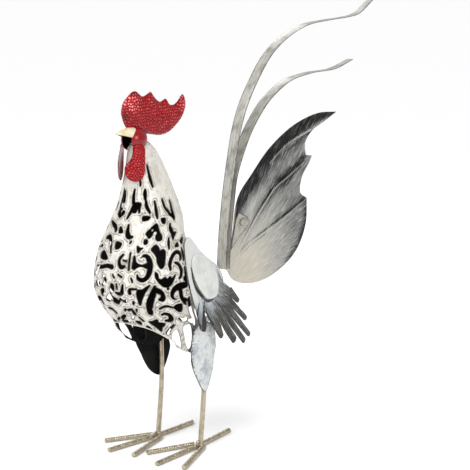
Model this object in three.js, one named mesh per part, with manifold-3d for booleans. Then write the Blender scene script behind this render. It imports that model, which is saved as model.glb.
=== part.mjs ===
// A rooster garden sculpture made of cut, pressed and painted sheet metal on two rod legs.
// Millimetres, +Z up. The bird faces -Y and its left side is +X. Its origin lies on the floor
// under the middle of its outer box.
import * as THREE from 'three';
import { mergeVertices } from 'three/addons/utils/BufferGeometryUtils.js';
import Module from 'manifold-3d';

const wasm = await Module();
wasm.setup();

// Driving dimensions.
const HEIGHT = 502;
const SHELL_WALL = 1.2;
const PLATE = 1;
const TAIL_PLATE = 0.8;
const ROD = 6;
const RIBBON_WIDTH = 14;
const RIBBON_PLATE = 1;
const AIR = 0.3;

// The bird's free form is drawn on a figure of this height and scaled to HEIGHT.
const DRAWN_HEIGHT = 502;
const GROW = HEIGHT / DRAWN_HEIGHT;

const PAINT = {
  cream: { color: 0xe9e6dc, roughness: 0.55, metalness: 0.1 },
  red: { color: 0xb3121f, roughness: 0.3, metalness: 0.2 },
  beak: { color: 0xe6d9a4, roughness: 0.4, metalness: 0.2 },
  steel: { color: 0x77797a, roughness: 0.45, metalness: 0.6 },
  tail: { color: 0x9a9a97, roughness: 0.45, metalness: 0.5 },
  legs: { color: 0xb9a98b, roughness: 0.5, metalness: 0.6 },
};

/** Numbers that lie evenly from first to last, both included. */
function spread(count, first, last) {
  return Array.from({ length: count + 1 }, (_, i) => first + ((last - first) * i) / count);
}

/** Turns a geometry inside out. */
function flipped(geometry) {
  const index = geometry.index.array;
  for (let i = 0; i < index.length; i += 3) {
    [index[i], index[i + 1]] = [index[i + 1], index[i]];
  }
  return geometry;
}

/** Volume that a closed indexed geometry holds, negative when its faces point in. */
function signedVolume(geometry) {
  const at = geometry.attributes.position;
  const [a, b, c] = [new THREE.Vector3(), new THREE.Vector3(), new THREE.Vector3()];
  let sum = 0;
  for (let i = 0; i < geometry.index.count; i += 3) {
    a.fromBufferAttribute(at, geometry.index.getX(i));
    b.fromBufferAttribute(at, geometry.index.getX(i + 1));
    c.fromBufferAttribute(at, geometry.index.getX(i + 2));
    sum += a.dot(b.cross(c)) / 6;
  }
  return sum;
}

/** A closed geometry from points and triangles, with its faces pointing out. */
function closed(points, triangles) {
  const geometry = new THREE.BufferGeometry().setFromPoints(points);
  geometry.setIndex(triangles.flat());
  return signedVolume(geometry) < 0 ? flipped(geometry) : geometry;
}

/** A solid for cutting and joining, from any closed geometry. */
function solidOf(geometry) {
  const bare = geometry.clone();
  bare.deleteAttribute('normal');
  bare.deleteAttribute('uv');
  const merged = mergeVertices(bare, 1e-4);
  if (signedVolume(merged) < 0) flipped(merged);
  return new wasm.Manifold(new wasm.Mesh({
    numProp: 3,
    vertProperties: new Float32Array(merged.attributes.position.array),
    triVerts: new Uint32Array(merged.index.array),
  }));
}

/** The geometry of a solid. */
function geometryOf(solid) {
  const mesh = solid.getMesh();
  const geometry = new THREE.BufferGeometry();
  geometry.setAttribute('position', new THREE.BufferAttribute(mesh.vertProperties, 3));
  geometry.setIndex([...mesh.triVerts]);
  return geometry;
}

/** The same piece on the bird's other side. */
function mirrored(geometry) {
  return flipped(geometry.clone().scale(-1, 1, 1));
}

/**
 * A wall between two faces that share one grid. near(u, v) and far(u, v) give the points, and
 * around says whether the columns run right round and meet.
 */
function wall(columns, rows, near, far, around = false) {
  const wide = around ? columns : columns + 1;
  const points = [];
  for (const face of [near, far]) {
    for (let j = 0; j <= rows; j += 1) {
      for (let i = 0; i < wide; i += 1) points.push(face(i / columns, j / rows));
    }
  }
  const back = wide * (rows + 1);
  const id = (i, j) => j * wide + (i % wide);
  const triangles = [];
  const quad = (a, b, c, d) => triangles.push([a, b, c], [a, c, d]);
  for (let j = 0; j < rows; j += 1) {
    for (let i = 0; i < columns; i += 1) {
      quad(id(i, j), id(i + 1, j), id(i + 1, j + 1), id(i, j + 1));
      quad(back + id(i, j), back + id(i, j + 1), back + id(i + 1, j + 1), back + id(i + 1, j));
    }
  }
  for (let i = 0; i < columns; i += 1) {
    quad(id(i + 1, 0), id(i, 0), back + id(i, 0), back + id(i + 1, 0));
    quad(id(i, rows), id(i + 1, rows), back + id(i + 1, rows), back + id(i, rows));
  }
  for (let j = 0; j < rows && !around; j += 1) {
    quad(id(0, j), id(0, j + 1), back + id(0, j + 1), back + id(0, j));
    quad(id(columns, j + 1), id(columns, j), back + id(columns, j), back + id(columns, j + 1));
  }
  return closed(points, triangles);
}

/** A straight prism along X whose outline is drawn as [y, z] points. */
function prism(outline, from, to) {
  const shape = new THREE.Shape(outline.map(([y, z]) => new THREE.Vector2(y, z)));
  const geometry = new THREE.ExtrudeGeometry(shape, { depth: to - from, bevelEnabled: false });
  const turn = new THREE.Matrix4().makeBasis(
    new THREE.Vector3(0, 1, 0),
    new THREE.Vector3(0, 0, 1),
    new THREE.Vector3(1, 0, 0),
  );
  return geometry.applyMatrix4(turn).translate(from, 0, 0);
}

/** A closed smooth outline through hand-placed [y, z] points. */
function rounded(points, steps) {
  const curve = new THREE.CatmullRomCurve3(
    points.map(([y, z]) => new THREE.Vector3(y, z, 0)),
    true,
  );
  return curve.getPoints(steps).slice(0, -1).map((p) => [p.x, p.y]);
}

/** Outlines as drawn, grown to the bird's height. */
function grown(outline) {
  return outline.map(([y, z]) => [y * GROW, z * GROW]);
}

/** The [lowest, highest] values that a list of outlines reaches along y and along z. */
function boundsOf(outlines) {
  const all = outlines.flat();
  return [0, 1].map((k) => [Math.min(...all.map((p) => p[k])), Math.max(...all.map((p) => p[k]))]);
}

/**
 * A sheet cut to one or more overlapping outlines and pressed to shape. near(y, z) and
 * far(y, z) give the X of its two faces.
 */
function pressed(outlines, near, far, columns, rows) {
  const [[y0, y1], [z0, z1]] = boundsOf(outlines);
  const at = (face) => (u, v) => {
    const y = y0 - 1 + (y1 - y0 + 2) * u;
    const z = z0 - 1 + (z1 - z0 + 2) * v;
    return new THREE.Vector3(face(y, z), y, z);
  };
  const sheet = solidOf(wall(columns, rows, at(near), at(far)));
  const reach = 200 * GROW;
  const cut = outlines
    .map((outline) => solidOf(prism(outline, -reach, reach)))
    .reduce((sum, part) => sum.add(part));
  return sheet.intersect(cut);
}

/** A round rod along a smooth path, with a flat facet underneath. */
function rod(points, width, steps) {
  const sides = 8;
  const half = Math.PI / sides;
  const radius = width / 2 / Math.cos(half);
  const shape = new THREE.Shape(spread(sides, half, 2 * Math.PI + half).slice(0, -1).map((turn) => (
    new THREE.Vector2(radius * Math.cos(turn), radius * Math.sin(turn))
  )));
  const path = new THREE.CatmullRomCurve3(points);
  return new THREE.ExtrudeGeometry(shape, { extrudePath: path, steps });
}

// The body shell. Each station gives a level section: its height, the middle it is drawn
// about, its half width, its reach to the front and to the back, and how sharply the back
// draws together.
const STATIONS = [
  { z: 110, middle: -50, side: 35.5, front: 25, back: 102, pinch: 2 },
  { z: 135, middle: -50, side: 38.5, front: 30, back: 112, pinch: 2 },
  { z: 150, middle: -51, side: 42, front: 36, back: 124, pinch: 2 },
  { z: 165, middle: -53, side: 47.5, front: 46.5, back: 135, pinch: 2 },
  { z: 180, middle: -56, side: 53.5, front: 54, back: 140, pinch: 2 },
  { z: 195, middle: -58, side: 57, front: 57, back: 133, pinch: 2 },
  { z: 210, middle: -58.5, side: 56.5, front: 56, back: 112, pinch: 2 },
  { z: 225, middle: -59, side: 54, front: 53.5, back: 86, pinch: 2 },
  { z: 238, middle: -60, side: 50, front: 49.5, back: 68, pinch: 1.8 },
  { z: 250, middle: -60.5, side: 45, front: 44.5, back: 58, pinch: 1.6 },
  { z: 270, middle: -61, side: 35.5, front: 35, back: 55, pinch: 1 },
  { z: 295, middle: -62.5, side: 25, front: 24, back: 50, pinch: 1 },
  { z: 325, middle: -65, side: 16.5, front: 16.5, back: 37, pinch: 1 },
  { z: 345, middle: -66.5, side: 12.5, front: 12.5, back: 24, pinch: 1 },
  { z: 354, middle: -67, side: 9.5, front: 9.5, back: 13.5, pinch: 1 },
];
const NECK_TOP = 354;

/** How fast one value of the stations changes with height at station i. */
function stationSlope(i, key) {
  const below = STATIONS[Math.max(i - 1, 0)];
  const above = STATIONS[Math.min(i + 1, STATIONS.length - 1)];
  return (above[key] - below[key]) / (above.z - below.z);
}

/** The level section of the shell at a height on the drawn figure. */
function sectionAt(z) {
  const last = STATIONS.length - 2;
  const i = Math.min(Math.max(STATIONS.findLastIndex((s) => s.z <= z), 0), last);
  const [a, b] = [STATIONS[i], STATIONS[i + 1]];
  const step = b.z - a.z;
  const x = (z - a.z) / step;
  const section = {};
  for (const key of ['middle', 'side', 'front', 'back', 'pinch']) {
    section[key] = (2 * x ** 3 - 3 * x ** 2 + 1) * a[key]
      + (x ** 3 - 2 * x ** 2 + x) * step * stationSlope(i, key)
      + (3 * x ** 2 - 2 * x ** 3) * b[key]
      + (x ** 3 - x ** 2) * step * stationSlope(i + 1, key);
  }
  return section;
}

/**
 * A point on the outside of the shell: turn runs from 0 at the breast to PI at the back, on
 * the left for positive values and on the right for negative ones.
 */
function shellPoint(turn, z) {
  const s = sectionAt(z);
  const sine = Math.abs(Math.sin(turn));
  const behind = Math.abs(turn) > Math.PI / 2;
  const x = s.side * sine ** (behind ? s.pinch : 1) * Math.sign(Math.sin(turn));
  const y = s.middle - Math.cos(turn) * (behind ? s.back : s.front);
  return new THREE.Vector3(x, y, z);
}

/** Outward direction of the shell at a point. */
function shellNormal(turn, z) {
  const step = 1e-3;
  const along = shellPoint(turn + step, z).sub(shellPoint(turn - step, z));
  const up = shellPoint(turn, z + 1).sub(shellPoint(turn, z - 1));
  return along.cross(up).normalize();
}

/** Half the shell's width at a place on the drawn figure. */
function shellWidth(y, z) {
  const s = sectionAt(z);
  const away = (y - s.middle) / (y < s.middle ? s.front : s.back);
  const power = y < s.middle ? 0.5 : s.pinch / 2;
  return s.side * Math.max(0, 1 - away * away) ** power;
}

/** The slanted open bottom: its height against the turn in degrees. */
const RIM = [[0, 158], [30, 154], [63, 141], [84, 133], [102, 118], [118, 115], [135, 146], [180, 178]];

/** Height of the bottom rim at a turn, on a smooth curve through RIM. */
function rimHeight(turn) {
  const degrees = Math.min(THREE.MathUtils.radToDeg(Math.abs(turn)), 179.99);
  const slope = (i) => {
    const [a, b] = [RIM[Math.max(i - 1, 0)], RIM[Math.min(i + 1, RIM.length - 1)]];
    return (b[1] - a[1]) / (b[0] - a[0]);
  };
  const i = RIM.findLastIndex(([at]) => at <= degrees);
  const step = RIM[i + 1][0] - RIM[i][0];
  const x = (degrees - RIM[i][0]) / step;
  return (2 * x ** 3 - 3 * x ** 2 + 1) * RIM[i][1]
    + (x ** 3 - 2 * x ** 2 + x) * step * slope(i)
    + (3 * x ** 2 - 2 * x ** 3) * RIM[i + 1][1]
    + (x ** 3 - x ** 2) * step * slope(i + 1);
}

/** The turn at which a tape laid round the shell from the breast reads a length. */
function turnAt(length, z) {
  const steps = 48;
  const target = Math.abs(length);
  let walked = 0;
  let last = shellPoint(0, z);
  for (let i = 1; i <= steps; i += 1) {
    const turn = (i / steps) * Math.PI;
    const next = shellPoint(turn, z);
    const step = next.distanceTo(last);
    if (walked + step >= target) {
      return Math.sign(length) * ((i - 1 + (target - walked) / step) / steps) * Math.PI;
    }
    walked += step;
    last = next;
  }
  return Math.sign(length) * Math.PI;
}

// The fretwork. A hole is a stroke of changing width, [length round from the breast, height,
// width], or a patch with straight sides, [length round, height].

/** Outline of a hole drawn as a stroke through its points, pointed where it ends wide. */
function stroke(...points) {
  const left = [];
  const right = [];
  const ends = [];
  points.forEach(([s, z, width], i) => {
    const [s0, z0] = points[Math.max(i - 1, 0)];
    const [s1, z1] = points[Math.min(i + 1, points.length - 1)];
    const run = Math.hypot(s1 - s0, z1 - z0);
    const [ds, dz] = [(s1 - s0) / run, (z1 - z0) / run];
    left.push([s - (dz * width) / 2, z + (ds * width) / 2]);
    right.unshift([s + (dz * width) / 2, z - (ds * width) / 2]);
    const forward = (i === 0 ? -0.4 : 0.4) * width;
    const broad = (i === 0 || i === points.length - 1) && width > 3.5;
    ends.push(broad ? [[s + ds * forward, z + dz * forward]] : []);
  });
  return [...ends[0], ...left, ...ends.at(-1), ...right];
}

/** Outline of a hole with straight sides. */
function patch(...points) {
  return points;
}

// Slits between the hackle feathers on the left of the neck.
const LEFT_HACKLE = [
  stroke([19, 330, 1], [23, 320, 2.4], [28, 308, 2.8]),
  stroke([7.6, 305, 1], [8, 294, 2.4]),
  patch([7, 291], [16, 290], [16.5, 281], [14.5, 286], [10, 281], [5, 275], [8, 283]),
  stroke([19, 304, 2.6], [20.5, 294, 3], [25, 285, 2], [29, 281, 1.4]),
  patch([22.5, 276.5], [30.5, 276], [28.5, 272.6], [23, 273.4]),
];
const SIDE_HACKLE = [
  stroke([43, 293, 1.8], [49, 284, 2.6], [57, 277, 2.8], [62, 274, 1.4]),
  stroke([58, 290, 2], [62, 281, 3.6], [68, 271.5, 4]),
  stroke([86, 288, 1.4], [97, 281, 2.2], [110, 273, 2.6]),
];

// The breast as it is cut to the left of its middle.
const LEFT_BREAST = [
  patch([-1, 249.6], [5.5, 249], [7, 246.4], [1, 243]),
  stroke([9, 267.5, 2], [10.5, 261, 4.4], [14, 256, 4.6], [17, 256, 2]),
  stroke([33.5, 259, 5], [40, 265.5, 5], [47, 256, 6.4]),
  stroke([10, 238, 1.6], [7.5, 233, 3], [8.5, 227, 3.4], [14.5, 224, 3.6]),
  stroke([33.6, 236.6, 2.4], [39, 235.4, 3.4], [42.2, 228, 5.4], [42.4, 219, 5.4], [37, 211.8, 4.4],
    [31.4, 214.4, 3.6]),
  patch([26.6, 235], [30, 230], [38, 228.6], [38, 226], [28, 225.6]),
  patch([31, 201], [37, 201.6], [44, 206], [38, 195], [32, 184]),
  stroke([14, 205, 1.8], [13, 198, 4], [7.6, 195.6, 3]),
  patch([-6, 193], [2, 192.6], [8, 187], [7, 183.6], [0, 185]),
];

// The breast as it is cut to the right of its middle.
const RIGHT_BREAST = [
  stroke([-5.2, 302, 1.4], [-5, 292, 4]),
  stroke([-2, 279.5, 4], [-6, 276, 2.4], [-9, 279, 3], [-6.6, 283, 2.4]),
  stroke([-6, 261, 2.2], [-8, 264.4, 3.6], [-14, 267, 3.6], [-20, 268.6, 2]),
  stroke([-7.6, 244, 2.2], [-9.8, 250, 3.6], [-14, 253.4, 4], [-20, 252, 2.2]),
  patch([-9, 231.6], [-13, 235.6], [-18, 238.6], [-24, 234.6], [-23, 231]),
  stroke([-1, 223.4, 4], [-9, 224, 3], [-18, 221.6, 3], [-30, 219.6, 3.4]),
  patch([-19, 201], [-23, 205.6], [-30, 203.6], [-29, 200.4]),
  patch([-12, 198.4], [-18.4, 196], [-16, 190], [-12.6, 192.4]),
  stroke([-20, 180, 2], [-24, 185, 5], [-34, 183, 3], [-44, 179.6, 2.4]),
  stroke([-30, 262, 2.4], [-38, 258, 3.6], [-45, 252, 2]),
  stroke([-31, 246, 2.2], [-38, 242, 3.8], [-45, 234, 2.2]),
  stroke([-34, 200, 2.4], [-40, 192, 3.6], [-48, 190, 2]),
];

// The flank; its broader holes are cut on the right side too.
const FLANK = [
  stroke([60.4, 267, 3], [62, 260.6, 4.4], [66, 255, 5.4], [71, 257, 2]),
  patch([81, 249.4], [87, 250.4], [85.6, 245]),
  patch([44, 247], [52, 243], [57, 241], [59, 232], [58.4, 225.6], [56, 223], [52, 227], [48, 236.6],
    [43, 243]),
  stroke([67.6, 222, 2.4], [66.4, 229, 4.4], [69.6, 236, 4.4], [76, 238.4, 3.6], [81, 232, 3]),
  patch([76, 227], [82, 223], [84.4, 216], [81, 210], [79, 211.4], [81, 217]),
  stroke([84, 240.6, 2.6], [87, 231, 2.8]),
  patch([50, 219], [53, 213.4], [58, 211.4], [62, 213.6], [66, 211.4], [73, 214.6], [67, 204],
    [61, 203.6], [54, 208]),
  stroke([49.6, 205.6, 1.6], [48, 197, 6.4], [44, 186.6, 6.6], [39.4, 179, 5], [37.8, 174.4, 5.4]),
  stroke([52, 201, 3], [56.6, 195.4, 6], [57, 189, 5.6]),
  stroke([70.4, 190, 3], [70.8, 197, 4], [77, 202.6, 5], [86, 203.4, 6], [92, 202.6, 4]),
  stroke([80.6, 199.4, 4], [81.8, 191, 4.4], [84, 183.6, 5]),
  patch([68, 178], [74, 181.6], [80, 182], [79.6, 175.6], [75, 171], [70.4, 173]),
  patch([86.6, 185.6], [92.6, 186], [94.6, 176], [92, 166.6], [89.4, 176], [87.4, 179]),
  stroke([50, 171, 1.6], [55.6, 171.4, 3.6], [58.4, 166.4, 5.4], [55, 161.6, 4]),
  patch([32, 161.6], [40, 163], [47, 158.6], [44, 155], [38.4, 150]),
  stroke([44.6, 146.4, 4.6], [50, 151, 2.6], [58, 157, 1.6]),
  patch([67, 163], [76, 161.4], [84, 158.4], [92, 160], [92, 156], [76, 156.6]),
  patch([54, 133], [52, 141], [57, 147], [58.4, 137], [61.6, 125]),
  patch([70, 149.4], [82, 150], [84, 138], [83, 124], [74.6, 121.4], [69.6, 132]),
];

// Behind the wings, where the fretwork runs on more plainly.
const SADDLE = [
  patch([100, 168], [112, 170], [118, 158], [112, 148], [102, 152]),
  stroke([104, 190, 3], [99, 198, 5], [102, 208, 5], [110, 212, 3]),
  stroke([116, 178, 3], [123, 186, 5], [122, 196, 5], [115, 202, 3]),
  stroke([104, 226, 2.4], [99, 234, 4], [102, 243, 3]),
  stroke([116, 220, 3], [124, 226, 4], [131, 220, 3]),
];

/** The same outline on the other side of the breast. */
function across(outline) {
  return outline.map(([s, z]) => [-s, z]);
}

/** Whether a hole is broad enough to be cut on the right side too, which is plainer. */
function isBroad(outline) {
  const least = 80;
  return Math.abs(THREE.ShapeUtils.area(outline.map(([s, z]) => new THREE.Vector2(s, z)))) > least;
}

/** A cutter that runs straight through the shell, square to it at the middle of the hole. */
function cutter(outline) {
  const reach = SHELL_WALL + 2.8;
  const [middleS, middleZ] = [0, 1].map((k) => outline.reduce((sum, p) => sum + p[k], 0) / outline.length);
  const way = shellNormal(turnAt(middleS, middleZ), middleZ);
  const rings = [-reach, reach].map((off) => outline.map(([s, z]) => (
    shellPoint(turnAt(s, z), z).addScaledVector(way, off).multiplyScalar(GROW)
  )));
  const count = outline.length;
  const flat = outline.map(([s, z]) => new THREE.Vector2(s, z));
  const lid = THREE.ShapeUtils.triangulateShape(flat, []);
  const turned = THREE.ShapeUtils.isClockWise(flat);
  const triangles = [];
  for (const [a, b, c] of lid) {
    triangles.push([a, c, b], [a + count, b + count, c + count]);
  }
  for (let i = 0; i < count; i += 1) {
    const next = (i + 1) % count;
    const side = [[i, next, next + count], [i, next + count, i + count]];
    triangles.push(...(turned ? side.map(([a, b, c]) => [a, c, b]) : side));
  }
  return solidOf(closed(rings.flat(), triangles));
}

/** The pierced body and neck, open below along the slanted rim and open at the neck's top. */
function bodyShell() {
  const columns = 22;
  const rows = 6;
  const face = (depth) => (u, v) => {
    const turn = (2 * u - 1) * Math.PI;
    const low = rimHeight(turn);
    const z = low + (NECK_TOP - low) * v ** 1.35;
    const point = shellPoint(turn, z).multiplyScalar(GROW);
    return point.addScaledVector(shellNormal(turn, z), -depth);
  };
  const plain = solidOf(wall(columns, rows, face(0), face(SHELL_WALL), true));
  const holes = [
    ...LEFT_HACKLE,
    ...LEFT_BREAST,
    ...RIGHT_BREAST,
    ...FLANK,
    ...[...FLANK, ...SADDLE].filter(isBroad).map(across),
    ...SADDLE,
    ...SIDE_HACKLE,
  ];
  return holes.reduce((shell, hole) => shell.subtract(cutter(hole)), plain);
}

// The head: a hollow hood with the beak, the comb and the two wattles on it.
const HEAD = { y: -74, z: 357, halfX: 13.5, halfY: 15.5, halfZ: 14 };

/** An egg about the head's middle, larger than the hood by an amount all round. */
function egg(extra) {
  const geometry = new THREE.SphereGeometry(1, 14, 9);
  const half = [HEAD.halfX, HEAD.halfY, HEAD.halfZ].map((size) => size * GROW + extra);
  geometry.scale(...half).translate(0, HEAD.y * GROW, HEAD.z * GROW);
  return solidOf(geometry);
}

/** The top of the neck as a filled form, larger than the shell by an amount all round. */
function neckBlock(extra) {
  const columns = 20;
  const levels = spread(4, 330, NECK_TOP);
  const turns = spread(columns, -Math.PI, Math.PI).slice(0, -1);
  const points = levels.flatMap((z) => turns.map((turn) => {
    const point = shellPoint(turn, z).multiplyScalar(GROW);
    return point.addScaledVector(shellNormal(turn, z), extra).setZ(z * GROW);
  }));
  const top = levels.length * columns;
  points.push(...turns.map((_, i) => points[top - columns + i].clone().setZ(NECK_TOP * GROW + extra)));
  const centre = sectionAt(NECK_TOP).middle * GROW;
  points.push(new THREE.Vector3(0, centre, points[0].z), new THREE.Vector3(0, centre, points.at(-1).z));
  const [low, high] = [points.length - 2, points.length - 1];
  const triangles = [];
  for (let i = 0; i < columns; i += 1) {
    const next = (i + 1) % columns;
    triangles.push([low, next, i], [high, top + i, top + next]);
    for (let j = 0; j < top; j += columns) {
      triangles.push([j + i, j + next, j + columns + next], [j + i, j + columns + next, j + columns + i]);
    }
  }
  return solidOf(closed(points, triangles));
}

/** The opening between the cheeks, below the beak. */
const MOUTH = { halfX: 7.2, front: -100, back: -77, low: 330, top: 362 };

/** The hood over the top of the neck, hollow, and open at its mouth and below. */
function hood() {
  const { halfX, front, back, low, top } = MOUTH;
  const mouth = new THREE.BoxGeometry(2 * halfX * GROW, (back - front) * GROW, (top - low) * GROW);
  mouth.translate(0, ((front + back) / 2) * GROW, ((low + top) / 2) * GROW);
  return egg(0)
    .subtract(egg(-SHELL_WALL))
    .subtract(solidOf(mouth))
    .subtract(neckBlock(AIR));
}

// How far the sides of the beak's base stand in from the hood's widest part.
const BEAK_SEAT = 3.7;

// The beak's two ends, and how far its top line bows up between them.
const BEAK_BASE = { y: -78, top: 371.4, low: 358, half: HEAD.halfX - BEAK_SEAT };
const BEAK_TIP = { y: -103, top: 366.6, low: 364.6, half: 0.9 };
const BEAK_BOW = 1.4;
const BEAK_PLATE = 0.8;

/** The folded beak, open underneath. */
function beak() {
  const columns = 6;
  const rows = 3;
  const least = 0.12;
  const at = (inset) => (u, v) => {
    const mix = (key) => (BEAK_BASE[key] + (BEAK_TIP[key] - BEAK_BASE[key]) * v) * GROW;
    const bow = Math.sin(Math.PI * v) * BEAK_BOW * GROW;
    const turn = Math.PI * (u - 0.5);
    const half = Math.max(mix('half') - inset, least);
    const rise = Math.max(mix('top') + bow - mix('low') - inset, least);
    return new THREE.Vector3(Math.sin(turn) * half, mix('y'), mix('low') + Math.cos(turn) * rise);
  };
  const skin = solidOf(wall(columns, rows, at(0), at(BEAK_PLATE)));
  return skin.subtract(egg(AIR)).subtract(comb(AIR));
}

// Outline of the comb from the front of the hood round its points to the back.
const COMB = [
  [-87, 371], [-92, 379], [-94.5, 387], [-91, 398], [-84, 404], [-76, 408.6], [-70, 408.6],
  [-60, 402.6], [-51, 405], [-46, 407], [-40, 401], [-30, 395], [-20, 398], [-14, 391.4],
  [-6, 390.6], [2, 394.6], [10, 401.4], [14, 390], [10, 379], [-2, 368], [-15, 361],
  [-30, 358.6], [-45, 360.6], [-66, 364],
];

/** How far a point lies inside an outline. */
function depthInside(outline, y, z) {
  const point = new THREE.Vector3(y, z, 0);
  const foot = new THREE.Vector3();
  return Math.min(...outline.map(([y0, z0], i) => {
    const [y1, z1] = outline[(i + 1) % outline.length];
    const edge = new THREE.Line3(new THREE.Vector3(y0, z0, 0), new THREE.Vector3(y1, z1, 0));
    return edge.closestPointToPoint(point, true, foot).distanceTo(point);
  }));
}

// Half the comb's thickness at its edge and along its middle, how far in from the edge it
// swells, and the point that it is drawn about.
const COMB_PAD = { edge: 1.4, middle: 6, swell: 8, y: -40, z: 384 };

/** Half the comb's thickness at a place: thin at its edge and fullest along its middle. */
function combHalf(outline, y, z) {
  const { edge, middle, swell } = COMB_PAD;
  const fullness = 1 - Math.exp(-depthInside(outline, y, z) / (swell * GROW));
  return (edge + (middle - edge) * fullness) * GROW;
}

/** The thick padded comb, larger than life by an amount all round where it cuts the beak. */
function comb(extra = 0) {
  const outline = grown(COMB);
  const core = [COMB_PAD.y * GROW, COMB_PAD.z * GROW];
  const wider = outline.map(([y, z]) => {
    const away = Math.hypot(y - core[0], z - core[1]);
    return [y + ((y - core[0]) / away) * 2 * extra, z + ((z - core[1]) / away) * 2 * extra];
  });
  const half = (y, z) => combHalf(outline, y, z) + extra;
  return pressed([wider], (y, z) => -half(y, z), half, 10, 5).subtract(egg(AIR));
}

// Outline of a wattle, from its top front down and round.
const WATTLE = [
  [-85.6, 352], [-87, 346], [-89.4, 339], [-94.6, 331], [-95.4, 325], [-93.2, 318],
  [-88, 314], [-82, 313.6], [-77.5, 317], [-75, 324], [-74.4, 334], [-75.4, 352],
];

/** Inner face of the left wattle, which lies on the neck and stands off in front of it. */
function wattleFace(y, z) {
  const [dy, dz] = [y / GROW, z / GROW];
  const neck = shellWidth(dy, Math.min(dz, NECK_TOP)) * GROW + 2 * AIR;
  const bulge = 2.4 * Math.max(0, 1 - ((dy + 84) / 11) ** 2) * Math.max(0, 1 - ((dz - 328) / 20) ** 2);
  return Math.max(neck, (4 + 0.5 * (dy + 95.5) + bulge) * GROW);
}

function wattle() {
  const outline = rounded(grown(WATTLE), 20);
  return pressed([outline], wattleFace, (y, z) => wattleFace(y, z) + PLATE, 5, 6);
}

// The wing is one sheet: a palm, a long blade in front and a fan of feathers, each drawn from
// the middle of its root to the middle of its tip with a width at both.
const PALM = [
  [-43, 249.6], [-37, 250.6], [-28, 237], [-17, 226], [-4, 215.6], [5.7, 198.5], [18.7, 188.4],
  [23, 185], [27, 173], [24, 163.6], [22, 153.4], [14.4, 149.6], [3.4, 146], [-14, 153],
  [-22, 163.4], [-25.7, 166], [-21, 154], [-23, 143.4], [-31.4, 146.6], [-36, 156.5],
  [-45, 179.6], [-54, 204.3], [-55.4, 223], [-52.4, 237], [-49.6, 244],
];
const FEATHERS = [
  { root: [-9, 158], tip: [9.6, 131.6], wide: 16, narrow: 8 },
  { root: [8.4, 152], tip: [36, 121.4], wide: 11.4, narrow: 9.6 },
  { root: [16, 156], tip: [56.4, 116.6], wide: 8.6, narrow: 7.4 },
  { root: [22, 161], tip: [67.4, 122], wide: 9, narrow: 6.6 },
  { root: [24, 170], tip: [59, 142.6], wide: 8.8, narrow: 6.6 },
  { root: [22, 182], tip: [41, 167], wide: 10.6, narrow: 6.4 },
];

/** Outline of one feather with a blunt, slightly slanting tip. */
function feather({ root, tip, wide, narrow }) {
  const [dy, dz] = [tip[0] - root[0], tip[1] - root[1]];
  const run = Math.hypot(dy, dz);
  const along = [dy / run, dz / run];
  const side = [-along[1], along[0]];
  const place = ([y, z], forward, sideways) => [
    y + along[0] * forward + side[0] * sideways,
    z + along[1] * forward + side[1] * sideways,
  ];
  return [
    place(root, 0, -wide / 2),
    place(tip, -1.4, -narrow / 2),
    place(tip, 1, -narrow / 4),
    place(tip, 2.2, narrow / 4),
    place(tip, 0, narrow / 2),
    place(root, 0, wide / 2),
  ];
}

/** Inner face of the left wing, which follows the body's bulge and runs on flat below it. */
function wingFace(y, z) {
  const [dy, dz] = [y / GROW, z / GROW];
  const { side } = sectionAt(Math.max(dz, 195));
  const drop = Math.min(1, Math.max(0, (195 - dz) / 60));
  return (side * (1 - 0.06 * ((dy + 58) / 100) ** 2) - 2 * drop ** 2) * GROW + 2 * AIR;
}

function wing() {
  const outlines = [PALM, ...FEATHERS.map(feather)].map(grown);
  return pressed(outlines, wingFace, (y, z) => wingFace(y, z) + PLATE, 4, 6);
}

// The shoulder plate riveted over the wing.
const COVERT = [
  [-42, 230], [-47, 221], [-45.4, 208], [-39.6, 196.4], [-33, 189], [-26, 182.4], [-15.6, 180],
  [-6, 183], [-2.8, 194], [-5, 206.6], [-14.6, 220], [-25.6, 229], [-35, 232],
];

/** Inner face of the left shoulder plate, whose lower end stands off the wing. */
function covertFace(y, z) {
  const lift = 1.8 * Math.min(1, Math.max(0, (215 - z / GROW) / 30)) * GROW;
  return wingFace(y, z) + PLATE + AIR + lift;
}

function covert() {
  const outline = rounded(grown(COVERT), 24);
  return pressed([outline], covertFace, (y, z) => covertFace(y, z) + PLATE, 4, 4);
}

// The legs stand in the middle of the feet, and the thigh plates lie against them.
const LEG_X = 31.2 * GROW;
const LEG_OUT = LEG_X + ROD / 2 + 2 * AIR;
const THIGH = {
  left: [
    [-28.4, 143], [-28.6, 134], [-27, 123], [-22.8, 111], [-20, 101], [-16, 91], [-11, 82],
    [-5, 72], [2, 65.4], [7, 66.6], [12, 73], [17, 80.4], [22, 90], [24, 101], [23.4, 112],
    [18.6, 123], [13.4, 133.6], [2, 146], [-9, 151], [-20, 150],
  ],
  right: [
    [-28, 143], [-32, 132], [-32.3, 121], [-26.7, 105], [-18, 91.6], [-7, 80.2], [7.4, 73],
    [12, 76.6], [16.2, 82.6], [20.6, 92], [25.4, 107], [24, 120], [16, 134], [4, 147], [-9, 151],
    [-20, 150],
  ],
};

// The thigh plate is hollow about a line up the leg, less so above its knee, where it also
// starts to lean out.
const THIGH_BEND = { y: -4, half: 27, knee: 95, fade: 20, deep: 3, shallow: 1.5, start: 105, slope: 0.26 };

/** Inner face of the left thigh plate: hollow along the leg, leaning out above it. */
function thighFace(y, z) {
  const bend = THIGH_BEND;
  const [dy, dz] = [y / GROW, z / GROW];
  const lean = bend.slope * Math.max(0, dz - bend.start);
  const above = Math.min(1, Math.max(0, (dz - bend.knee) / bend.fade));
  const hollow = bend.deep + (bend.shallow - bend.deep) * above;
  return LEG_OUT + (lean + hollow * (0.11 - ((dy - bend.y) / bend.half) ** 2)) * GROW;
}

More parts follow.
